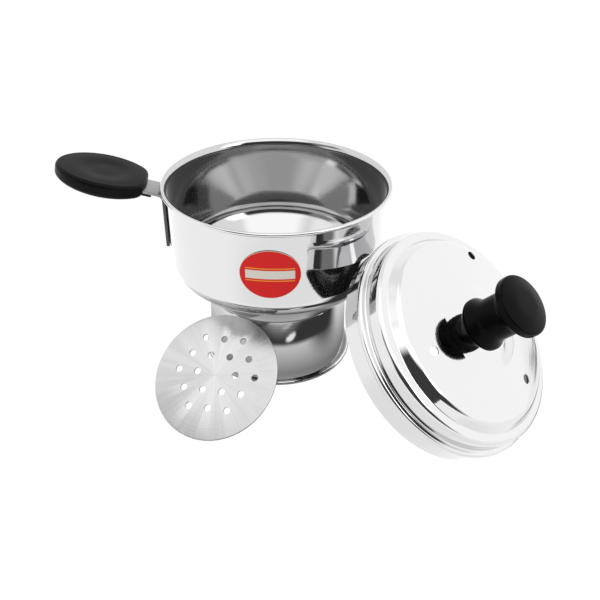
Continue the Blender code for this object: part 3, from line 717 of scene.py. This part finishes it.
def sticker_print():
    """Gloss printed oval: red field, one plain cream band with thin orange lines, pale cut edge."""
    made, tree, principled = shader("printed sticker", Roughness=0.3, IOR=1.5, Specular_IOR_Level=0.2)
    place = node(tree, "ShaderNodeUVMap", uv_map="oval").outputs[0]
    middle = vectors(tree, "SUBTRACT", place, Vector((0.5, 0.5, 0.0)))
    reach = sums(tree, "MULTIPLY", length_of(tree, middle), 2.0)
    across, height = [
        sums(tree, "MULTIPLY", sums(tree, "ABSOLUTE", parts_of(tree, middle)[side]), 2.0) for side in "XY"]

    def past(value, edge, width=0.012):
        """0 before an edge and 1 past it."""
        return ranged(tree, value, edge - width, edge + width, kind="SMOOTHSTEP")

    def short(share):
        """The same share, ended at the band's ends."""
        return sums(tree, "MULTIPLY", share, sums(tree, "SUBTRACT", 1.0, past(across, LABEL_BAND_END)))

    line = short(sums(tree, "SUBTRACT", *[past(height, edge) for edge in LABEL_LINE]))
    band = short(sums(tree, "SUBTRACT", 1.0, past(height, LABEL_BAND)))
    red = tinted(tree, noise(tree, place, scale=90.0, detail=2.0), *LABEL_REDS)
    banded = tinted(tree, band, tinted(tree, line, red, LABEL_ORANGE), LABEL_CREAM)
    edged = tinted(tree, past(reach, LABEL_CUT, 0.006), banded, LABEL_CUT_COLOUR)
    camera_ray = node(tree, "ShaderNodeLightPath").outputs["Is Camera Ray"]
    tree.links.new(tinted(tree, camera_ray, LABEL_MIRRORED_GREY, edged), principled.inputs["Base Color"])
    return made


# Pieces

def new_object(name, data):
    made = bpy.data.objects.new(name, data)
    bpy.context.scene.collection.objects.link(made)
    return made


def drawn(name, points, faces=()):
    """An object from points and faces."""
    mesh = bpy.data.meshes.new(name)
    mesh.from_pydata(points, [], faces)
    return new_object(name, mesh)


def built(name, bm, finish=None):
    """An object from a bmesh, which is used up."""
    mesh = bpy.data.meshes.new(name)
    bm.to_mesh(mesh)
    bm.free()
    if finish:
        mesh.materials.append(finish)
    return new_object(name, mesh)


def settle(made, pose, sharp=SHARP):
    """Put a finished mesh in place: normals outwards, smooth, sharp only at its true corners."""
    bm = bmesh.new()
    bm.from_mesh(made.data)
    bmesh.ops.remove_doubles(bm, verts=bm.verts, dist=JOIN_DISTANCE)
    bmesh.ops.dissolve_degenerate(bm, dist=JOIN_DISTANCE, edges=bm.edges)
    bmesh.ops.recalc_face_normals(bm, faces=bm.faces)
    bm.to_mesh(made.data)
    bm.free()
    made.data.transform(pose)
    made.data.shade_smooth()
    made.data.set_sharp_from_angle(angle=sharp)
    return made


def turned(name, profile, finish, steps=SHEET_STEPS):
    """A closed (radius, height) profile turned round Z by the turning tree."""
    closed = [*profile, profile[0]]
    made = drawn(name, [(point[0], 0, point[1]) for point in closed])
    return grown(made, "turned sheet", {"Points": len(closed), "Steps": steps, "Finish": finish})


def punched(made, marks, radius, reach, finish):
    """Cut a round hole at each mark through a piece that still lies in its own frame."""
    grown(made, "punched holes", {
        "Places": marks, "Radius": radius, "Reach": reach, "Steps": HOLE_STEPS, "Finish": finish})
    bpy.data.objects.remove(marks)


def box(low, high):
    """A bmesh with one box."""
    bm = bmesh.new()
    size = Vector(high) - Vector(low)
    place = Matrix.Translation((Vector(high) + Vector(low)) / 2) @ Matrix.Diagonal((*size, 1))
    bmesh.ops.create_cube(bm, size=1, matrix=place)
    return bm


def combined(target, bm, operation="DIFFERENCE"):
    """Cut a bmesh out of a piece, or join it on, and keep the plain result."""
    tool = built("tool", bm)
    modifier = target.modifiers.new("combine", "BOOLEAN")
    modifier.operation = operation
    modifier.solver = "EXACT"
    modifier.object = tool
    plain_result(target, modifier)
    bpy.data.objects.remove(tool)


def bevelled(bm, edges, bend, segments):
    bmesh.ops.bevel(bm, geom=edges, offset=bend, segments=segments, profile=0.5, affect="EDGES")


def skinned(bm, rows, poles):
    """Faces between closed rows of vertices, and a fan to a pole at either end."""
    for lower, upper in zip(rows, rows[1:]):
        for index in range(len(lower)):
            after = (index + 1) % len(lower)
            bm.faces.new((lower[index], lower[after], upper[after], upper[index]))
    for row, pole in zip((rows[0], rows[-1]), poles):
        for index in range(len(row)):
            bm.faces.new((row[index], row[(index + 1) % len(row)], pole))


def belly_height(radius):
    """Height of the belly's outer face at a radius."""
    return FLOOR_HEIGHT + (radius - FLOOR_RADIUS) * BELLY_SLOPE


def bowl(finish):
    roll = rolled_edge(WALL_RADIUS, RIM_OVERHANG, RIM_FLARE, RIM_BEAD)
    edge = [Vector((point.x, point.y + BOWL_HEIGHT)) for point in roll]
    outside = rounded([
        (STEAM_OPENING_RADIUS, FLOOR_HEIGHT),
        (FLOOR_RADIUS, FLOOR_HEIGHT, FLOOR_BEND),
        (WALL_RADIUS, BELLY_CORNER_HEIGHT, BELLY_BEND),
        edge[0],
    ], BELLY_ARC)
    inside = offset(outside, SHEET)[:-1]
    return settle(turned("pan_bowl", outside[:-1] + edge + inside[::-1], finish), PAN)


def foot(finish):
    flat = FOOT_BEAD * (1 - cos(FOOT_FLAT_ANGLE))
    roll = rolled_edge(FOOT_BASE_RADIUS, FOOT_RIM_OVERHANG, FOOT_FLARE, FOOT_BEAD)
    edge = [Vector((point.x, max(-point.y - flat, 0))) for point in roll]
    top = [Vector((radius, belly_height(radius) - BELLY_GAP_DROP))
           for radius in (FOOT_TOP_RADIUS - SHEET, FOOT_TOP_RADIUS)]
    return settle(turned("pan_foot", edge + top, finish), PAN)


def handle_point(distance, height):
    """A point in the handle's plane, so far along the tang and so far above its underside."""
    return STRAP_START + Matrix.Rotation(HANDLE_RISE, 2) @ Vector((distance, height))


def strap(finish):
    """Bent strip with broken edges, from the weld on the wall to the end of the tang."""
    start = STRAP_START
    end = handle_point(GRIP_END_DISTANCE + TANG_LENGTH, 0)
    under = rounded([(start.x, STRAP_BOTTOM), (start.x, start.y, STRAP_BEND), (end.x, end.y)])
    outline = under + offset(under, STRAP_THICKNESS)[::-1]
    bm = bmesh.new()
    side = bm.faces.new([bm.verts.new((-point.x, -STRAP_WIDTH / 2, point.y)) for point in outline])
    extruded = bmesh.ops.extrude_face_region(bm, geom=[side])["geom"]
    moved = [item for item in extruded if isinstance(item, bmesh.types.BMVert)]
    bmesh.ops.translate(bm, verts=moved, vec=(0, STRAP_WIDTH, 0))
    bmesh.ops.recalc_face_normals(bm, faces=bm.faces)
    edges = [edge for edge in bm.edges if edge.calc_face_angle(0) > STRAP_CORNER]
    bevelled(bm, edges, STRAP_EDGE_BEND, segments=3)
    return settle(built("handle_strap", bm, finish), PAN)


def grip_pose():
    """Middle of the grip: +X towards the pan, +Z up and square to the tang."""
    middle = handle_point(GRIP_END_DISTANCE + GRIP_LENGTH / 2, STRAP_THICKNESS / 2 + GRIP_TANG_DROP)
    turn = Matrix.Rotation(HANDLE_RISE, 4, "Y")
    return PAN @ Matrix.Translation((-middle.x, 0, middle.y)) @ turn


def grip_outline(inset):
    """The grip's oval, its end towards the pan cut off with soft corners."""
    limit = GRIP_LENGTH / 2 - inset
    points = []
    for index in range(GRIP_STEPS):
        angle = tau * index / GRIP_STEPS
        x = (GRIP_LENGTH / 2 + GRIP_END_CUT - inset) * cos(angle)
        if x > limit - GRIP_END_CORNER:
            x = limit - GRIP_END_CORNER * exp(-(x - limit + GRIP_END_CORNER) / GRIP_END_CORNER)
        points.append(Vector((x, (GRIP_WIDTH / 2 - inset) * sin(angle), 0)))
    return points


def grip_rings(side, rise, power, dip):
    """Rings of the grip's top (side 1) or underside (side -1), from its middle to the widest line."""

    def crown(point):
        share = hypot(2 * point.x / GRIP_LENGTH, 2 * point.y / GRIP_WIDTH)
        return rise * (1 - min(1.0, share) ** power)

    def recess(point):
        share = hypot(2 * point.x / GRIP_RECESS_LENGTH, 2 * point.y / GRIP_RECESS_WIDTH)
        return dip / (1 + share ** 5)

    rings = []
    inner = grip_outline(GRIP_EDGE_BEND)
    for index in range(1, GRIP_RINGS):
        share = index / GRIP_RINGS
        rings.append([Vector((point.x * share, point.y * share,
                              side * (GRIP_EDGE / 2 + crown(point * share) - recess(point * share))))
                      for point in inner])
    for index in range(GRIP_EDGE_STEPS + 1):
        angle = radians(90) * index / GRIP_EDGE_STEPS
        height = GRIP_EDGE / 2 - GRIP_EDGE_BEND * (1 - cos(angle))
        fade = 1 - index / GRIP_EDGE_STEPS
        outline = grip_outline(GRIP_EDGE_BEND * (1 - sin(angle)))
        rings.append([Vector((point.x, point.y, side * (height + crown(start) * fade)))
                      for point, start in zip(outline, inner)])
    return rings


def grip(finish):
    """Oval moulded grip, crowned on both faces, with a thumb recess and a socket for the tang."""
    end = GRIP_LENGTH / 2
    bm = bmesh.new()
    rings = grip_rings(-1, GRIP_UNDER_CROWN, power=3, dip=0)
    rings += grip_rings(1, GRIP_TOP_CROWN, power=2, dip=GRIP_RECESS_DEPTH)[::-1]
    rows = [[bm.verts.new(point) for point in ring] for ring in rings]
    heights = (-GRIP_EDGE / 2 - GRIP_UNDER_CROWN, GRIP_EDGE / 2 + GRIP_TOP_CROWN - GRIP_RECESS_DEPTH)
    skinned(bm, rows, [bm.verts.new((0, 0, height)) for height in heights])
    bmesh.ops.recalc_face_normals(bm, faces=bm.faces)
    made = built("side_grip", bm, finish)

    tang_low = -GRIP_TANG_DROP - STRAP_THICKNESS / 2 - GAP
    tang_high = -GRIP_TANG_DROP + STRAP_THICKNESS / 2 + GAP
    lip = box((end - 2 * GRIP_LIP_LENGTH, -GRIP_LIP_WIDTH / 2, tang_low - GRIP_LIP_THICKNESS),
              (end + GRIP_LIP_LENGTH, GRIP_LIP_WIDTH / 2, tang_low + GAP))
    along = [edge for edge in lip.edges if abs(edge.verts[0].co.y - edge.verts[1].co.y) < JOIN_DISTANCE]
    bevelled(lip, along, GRIP_LIP_BEND, segments=4)
    combined(made, lip, "UNION")
    combined(made, box((end - TANG_LENGTH - GAP, -STRAP_WIDTH / 2 - GAP, tang_low),
                       (end + 2 * GRIP_LIP_LENGTH, STRAP_WIDTH / 2 + GAP, tang_high)))
    low = -GRIP_EDGE - GRIP_UNDER_CROWN
    for radius, top in ((GRIP_SCREW_HEAD_RADIUS, GRIP_SCREW_SEAT + GAP), (GRIP_SCREW_RADIUS, tang_low + GAP)):
        cutter = bmesh.new()
        place = Matrix.Translation((end - GRIP_SCREW_INSET, 0, (low + top) / 2))
        bmesh.ops.create_cone(cutter, cap_ends=True, segments=BORE_STEPS, radius1=radius + GAP,
                              radius2=radius + GAP, depth=top - low, matrix=place)
        combined(made, cutter)
    return settle(made, grip_pose(), GRIP_SHARP)


def slotted_screw(name, radius, length, head_radius, head, finish, cross=False):
    """A pan head screw, head down, its seat at height 0, with one slot or a cross."""
    profile = rounded([
        (0, -head),
        (head_radius, -head, head * SCREW_HEAD_BEND_SHARE),
        (head_radius, 0, SCREW_SEAT_BEND),
        (radius, 0, SCREW_NECK_BEND),
        (radius, length, SCREW_END_BEND),
        (0, length),
    ])
    made = turned(name, profile, finish, SMALL_STEPS)
    reach, half = CROSS if cross else SLOT
    long, short = reach * head_radius, half * head
    for x, y in ((long, short), (short, long)) if cross else ((long, short),):
        combined(made, box((-x, -y, -2 * head), (x, y, -head / 2)))
    return made


def label(finish):
    """Oval sticker wrapped on the wall, with a thin raised edge."""
    inner = WALL_RADIUS + GAP
    bm = bmesh.new()
    layer = bm.loops.layers.uv.new("oval")
    flat = {}

    def vertex(share, angle, lift):
        """A vertex on the wall. Its place on the flat sticker is kept too."""
        x = share * LABEL_WIDTH / 2 * cos(angle)
        y = share * LABEL_TALL / 2 * sin(angle)
        radius = inner + lift * LABEL_THICKNESS
        place = Vector((radius * cos(x / inner), radius * sin(x / inner), LABEL_HEIGHT + y))
        made = bm.verts.new(Matrix.Rotation(LABEL_AZIMUTH, 3, "Z") @ place)
        flat[made] = Vector((x / LABEL_WIDTH + 0.5, y / LABEL_TALL + 0.5))
        return made

    angles = [tau * index / LABEL_STEPS for index in range(LABEL_STEPS)]
    rows = [[vertex(share, angle, lift) for angle in angles] for share, lift in LABEL_RINGS]
    skinned(bm, rows, [vertex(0, 0, lift) for lift in (1, 0)])
    for face in bm.faces:
        for loop in face.loops:
            loop[layer].uv = flat[loop.vert]
    return settle(built("oval_label", bm, finish), PAN)


def leaning(azimuth, distance, height, tilt):
    """Pose of a leaning piece: +Z its own axis, +X straight down its slope."""
    lean = Matrix.Translation((distance, 0, height)) @ Matrix.Rotation(tilt, 4, "Y")
    return PAN @ Matrix.Rotation(azimuth, 4, "Z") @ lean


def plate_pose():
    """The plate stands on its lower edge, its upper edge in the corner of foot and belly."""
    corner = belly_height(FOOT_TOP_RADIUS + GAP) - BELLY_GAP_DROP
    rise = 2 * PLATE_RADIUS - PLATE_THICKNESS * BELLY_SLOPE
    tilt = asin(corner / hypot(rise, PLATE_THICKNESS)) - atan2(PLATE_THICKNESS, rise)
    distance = FOOT_TOP_RADIUS + GAP + PLATE_RADIUS * cos(tilt)
    return leaning(PLATE_AZIMUTH, distance, PLATE_RADIUS * sin(tilt), tilt)


def plate(finish):
    """Round plate with broken edges and its lattice of punched holes."""
    profile = rounded([
        (0, 0),
        (PLATE_RADIUS, 0, PLATE_EDGE_BEND),
        (PLATE_RADIUS, PLATE_THICKNESS, PLATE_EDGE_BEND),
        (0, PLATE_THICKNESS),
    ], PLATE_ARC)
    made = turned("steam_plate", profile, finish)
    marks = grown(drawn("hole_marks", []), "hole lattice", {
        "Pitch": PLATE_HOLE_PITCH, "Rings": PLATE_HOLE_RINGS, "Turn": PLATE_PATTERN_TURN,
        "Shift": PLATE_PATTERN_SHIFT})
    punched(made, marks, PLATE_HOLE_RADIUS, 4 * PLATE_THICKNESS, finish)
    return settle(made, plate_pose(), PLATE_SHARP)


def lid_pose():
    """The lid stands on its skirt's lower edge, its skirt's upper edge on the pan's wall."""
    tilt = pi / 2 - LID_ELEVATION
    height = LID_SKIRT_DEPTH * cos(tilt) + LID_SKIRT_RADIUS * sin(tilt)
    distance = WALL_RADIUS + GAP + LID_SKIRT_DEPTH * sin(tilt) + LID_SKIRT_RADIUS * cos(tilt)
    return leaning(LID_AZIMUTH, distance, height, tilt)


def lid(finish):
    dome_edge = LID_DOME_RADIUS - LID_DOME_EDGE_INSET
    middle = (LID_BOSS_BASE_RADIUS + dome_edge) / 2
    outside = rounded([
        (KNOB_SCREW_RADIUS + GAP, LID_BOSS_HEIGHT),
        (LID_BOSS_TOP_RADIUS, LID_BOSS_HEIGHT, LID_BOSS_BEND),
        (LID_BOSS_BASE_RADIUS, LID_BOSS_HEIGHT - LID_BOSS_RISE, LID_BOSS_BEND),
        (middle, LID_DOME_EDGE_HEIGHT + LID_DOME_MIDDLE_SHARE * LID_DOME_RISE, LID_DOME_BEND),
        (dome_edge, LID_DOME_EDGE_HEIGHT, LID_DOME_EDGE_BEND),
        (LID_DOME_RADIUS, LID_SHOULDER_HEIGHT, LID_STEP_BEND),
        (LID_WALL_RADIUS, LID_SHOULDER_HEIGHT, LID_SHOULDER_BEND),
        (LID_WALL_RADIUS, LID_BEAD_HALF, LID_STEP_BEND),
        (LID_BEAD_RADIUS, LID_BEAD_HALF, LID_BEAD_HALF),
        (LID_BEAD_RADIUS, -LID_BEAD_HALF, LID_BEAD_HALF),
        (LID_SKIRT_RADIUS, -LID_BEAD_HALF, LID_SKIRT_BEND),
        (LID_SKIRT_RADIUS, -LID_SKIRT_DEPTH),
    ], LID_ARC)
    inside = offset(outside, -SHEET)
    made = turned("lid_pressing", split(outside, LID_STRETCH) + split(inside, LID_STRETCH)[::-1], finish)
    marks = [(distance * cos(angle), distance * sin(angle), LID_DOME_EDGE_HEIGHT)
             for distance, angle in VENT_PLACES]
    punched(made, drawn("hole_marks", marks), VENT_RADIUS, 4 * LID_DOME_RISE, finish)
    return settle(made, lid_pose())


def knob_pose():
    return lid_pose() @ Matrix.Translation((0, 0, LID_BOSS_HEIGHT + GAP))


def knob(finish):
    """Turned spool knob, hollow where the threaded insert sits."""
    bore = KNOB_INSERT_RADIUS + GAP
    outside = rounded([
        (bore, 0),
        (KNOB_BASE_RADIUS, 0, KNOB_BASE_EDGE / 2),
        (KNOB_BASE_RADIUS, KNOB_BASE_EDGE, KNOB_BASE_EDGE / 2),
        (KNOB_WAIST_RADIUS, KNOB_WAIST_START, KNOB_WAIST_START_BEND),
        (KNOB_WAIST_RADIUS, KNOB_WAIST_END, KNOB_WAIST_END_BEND),
        (KNOB_CAP_RADIUS, KNOB_CAP_START, KNOB_CAP_START_BEND),
        (KNOB_CAP_RADIUS, KNOB_CAP_END, KNOB_CAP_END_BEND),
        (KNOB_CAP_RADIUS / 2, KNOB_HEIGHT, KNOB_TOP_BEND),
        (0, KNOB_HEIGHT),
    ])
    pocket = KNOB_INSERT_DEPTH + 2 * GAP
    profile = outside + [Vector((0, pocket)), Vector((bore, pocket))]
    return settle(turned("lid_knob", profile, finish, KNOB_STEPS), knob_pose())


# Studio

def inside_of(tree, distance, softness):
    """1 where a distance is below 1 and 0 above it, with a soft edge."""
    return ranged(tree, distance, 1 + softness, 1 - softness, kind="SMOOTHSTEP")


def away(tree, value, middle, half, bearing=False):
    """How far a value, or a bearing in degrees, lies from a middle, in halves."""
    apart = sums(tree, "SUBTRACT", value, middle)
    if bearing:
        apart = sums(tree, "WRAP", apart, 180.0, -180.0)
    return sums(tree, "DIVIDE", sums(tree, "ABSOLUTE", apart), half)


def degrees(tree, operation, *values):
    """An angle worked out by a Math node, in degrees."""
    return sums(tree, "MULTIPLY", sums(tree, operation, *values), 180 / pi)


def plain_to_camera(tree, light, socket):
    """Feed a light that is plain white to the camera."""
    camera_ray = node(tree, "ShaderNodeLightPath").outputs["Is Camera Ray"]
    tree.links.new(blended(tree, camera_ray, light, PLAIN_LIGHT), socket)


def studio_world():
    """Pale room with soft cards that stand still round the object."""
    world = bpy.data.worlds.new("studio")
    bpy.context.scene.world = world
    world.use_nodes = True
    tree = world.node_tree
    background = tree.nodes["Background"]
    background.inputs["Color"].default_value = colour_of(1.0)
    parts = parts_of(tree, node(tree, "ShaderNodeTexCoord").outputs["Generated"])
    azimuth = degrees(tree, "ARCTAN2", parts["Y"], parts["X"])
    elevation = degrees(tree, "ARCSINE", parts["Z"])
    light = ROOM_LIGHT
    for middle, height, half_width, half_height, softness, strength in CARDS:
        reach = sums(tree, "MAXIMUM", away(tree, azimuth, middle, half_width, bearing=True),
                     away(tree, elevation, height, half_height))
        light = blended(tree, inside_of(tree, reach, softness), light, strength)
    plain_to_camera(tree, light, background.inputs["Strength"])


def floor():
    """White floor, with painted shadows and pale patches round the pan in what the steel mirrors."""
    corners = [(x * FLOOR_HALF, y * FLOOR_HALF, 0) for x, y in ((-1, -1), (1, -1), (1, 1), (-1, 1))]
    made = drawn("studio_floor", corners, [(0, 1, 2, 3)])
    made.location.z = -FLOOR_DROP
    finish, tree, principled = shader(
        "white floor", Base_Color=colour_of(0.0), Roughness=1.0, Specular_IOR_Level=0.0,
        Emission_Color=colour_of(1.0))
    place = object_place(tree)
    parts = parts_of(tree, place)
    from_pan = vectors(tree, "SUBTRACT", place, PAN.translation)
    pan_parts = parts_of(tree, from_pan)
    bearing = degrees(tree, "ARCTAN2", pan_parts["Y"], pan_parts["X"])
    reach = length_of(tree, from_pan)

    # Painted shadows round the foot and under pan and lid, and painted pale patches, seen only in reflections
    start, end, dark, pale = FOOT_SHADE
    open_floor = ranged(tree, reach, end, end + OPEN_FLOOR_WIDTH, kind="SMOOTHSTEP")
    seen = blended(tree, open_floor, ranged(tree, reach, start, end, dark, pale), FLOOR_LIGHT)
    radius, half_depth, middle, half_turn, softness, strength = PAN_SHADE
    far = sums(tree, "MAXIMUM", away(tree, reach, radius, half_depth),
               away(tree, bearing, middle, half_turn, bearing=True))
    seen = blended(tree, inside_of(tree, far, softness), seen, strength)
    for across, back, half_width, half_depth, softness, strength in FLOOR_SHADES:
        flat = joined(tree, away(tree, parts["X"], across, half_width),
                      away(tree, parts["Y"], back, half_depth))
        seen = blended(tree, inside_of(tree, length_of(tree, flat), softness), seen, strength)
    plain_to_camera(tree, seen, principled.inputs["Emission Strength"])
    made.data.materials.append(finish)


def camera():
    data = bpy.data.cameras.new("camera")
    data.lens = CAMERA_LENS
    data.sensor_width = 36
    made = new_object("camera", data)
    heading = Matrix.Rotation(-CAMERA_YAW, 4, "Z") @ Matrix.Rotation(pi / 2 - CAMERA_PITCH, 4, "X")
    turn = heading @ Matrix.Rotation(CAMERA_ROLL, 4, "Z")
    made.matrix_world = Matrix.Translation(PAN.translation + CAMERA_FROM_PAN) @ turn
    bpy.context.scene.camera = made


def seat(made, body, slot, *nodes):
    """Hand a finished piece to the frame."""
    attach(made, body)
    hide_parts(*nodes)


def fasteners():
    """Screws and washer of grip and knob, and metal for the two solids that are moulded in."""
    plated = plated_steel("zinc plate", ZINC_COLOUR)
    nut_top = -GRIP_TANG_DROP + STRAP_THICKNESS / 2 + GAP + GRIP_NUT_THICKNESS
    fixing = slotted_screw("grip_screw", GRIP_SCREW_RADIUS, nut_top - GRIP_SCREW_SEAT,
                           GRIP_SCREW_HEAD_RADIUS, GRIP_SCREW_HEAD, plated)
    place = Matrix.Translation((GRIP_LENGTH / 2 - GRIP_SCREW_INSET, 0, GRIP_SCREW_SEAT))
    seat(settle(fixing, grip_pose() @ place), "pan", "screw_steel", "handle_screw")

    washer_top = -2 * GAP - SHEET
    washer_low = washer_top - KNOB_WASHER_THICKNESS
    bore = KNOB_SCREW_RADIUS + GAP
    ring = rounded([
        (bore, washer_low),
        (KNOB_WASHER_RADIUS, washer_low, KNOB_WASHER_BEND),
        (KNOB_WASHER_RADIUS, washer_top, KNOB_WASHER_BEND),
        (bore, washer_top),
    ])
    washer = turned("knob_fixing_washer", ring, plated, SMALL_STEPS)
    seat(settle(washer, knob_pose()), "lid", "washer_steel", "knob_washer")
    screw = slotted_screw("knob_fixing_screw", KNOB_SCREW_RADIUS, KNOB_SCREW_LENGTH,
                          KNOB_SCREW_HEAD_RADIUS, KNOB_SCREW_HEAD, plated, cross=True)
    place = Matrix.Translation((0, 0, washer_low - GAP))
    seat(settle(screw, knob_pose() @ place), "lid", "screw_steel", "knob_screw")
    for name, colour in (("handle_nut", NUT_COLOUR), ("knob_insert", BRASS_COLOUR)):
        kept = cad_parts[name]
        kept.data.materials.clear()
        kept.data.materials.append(plated_steel(name.replace("_", " ") + " metal", colour))


def main():
    turning_tree()
    punching_tree()
    lattice_tree()
    polish_group()
    grain_group()

    # Each steel's inside grey is painted shade in its hollow, and its deep light is a painted glow
    pan_steel = polished_steel("pan steel", PAN, rough=0.035, line_depth=0.04, wave_scale=28.0,
                               wave_depth=0.6, axial=-0.5, inside_painted_shade_grey=0.49, deep_painted_glow=0.34)
    foot_steel = polished_steel("foot steel", PAN, rough=0.04, line_depth=0.05, wave_scale=40.0,
                                wave_depth=0.4, axial=-0.2, inside_painted_shade_grey=0.30, deep_painted_glow=0.10)
    lid_steel = polished_steel("lid steel", lid_pose(), rough=0.04, line_depth=0.05, wave_scale=30.0,
                               wave_depth=0.5, axial=1.0, inside_painted_shade_grey=0.24, deep_painted_glow=0.08)
    grip_resin = resin("grip resin", grip_pose(), dark=0.0022, light=0.0045, rough=0.42,
                       depth=0.00003, shine=0.08)
    knob_resin = resin("knob resin", knob_pose(), dark=0.0016, light=0.0032, rough=0.28,
                       depth=0.00002, shine=0.05)
    seat(bowl(pan_steel), "pan", "polished_steel", "bowl")
    seat(foot(foot_steel), "pan", "foot_steel", "foot_ring")
    seat(strap(strap_steel()), "pan", "strap_steel", "handle_bracket")
    seat(grip(grip_resin), "pan", "black_bakelite", "handle_grip")
    seat(label(sticker_print()), "pan", "sticker", "label")
    seat(plate(plate_steel(plate_pose())), "plate", "plate_steel", "steam_disc")
    seat(lid(lid_steel), "lid", "lid_steel", "lid_shell")
    seat(knob(knob_resin), "lid", "black_knob", "knob")
    fasteners()

    floor()
    studio_world()
    camera()
    scene = bpy.context.scene
    scene.view_settings.view_transform = "Standard"
    scene.view_settings.look = "None"


main()
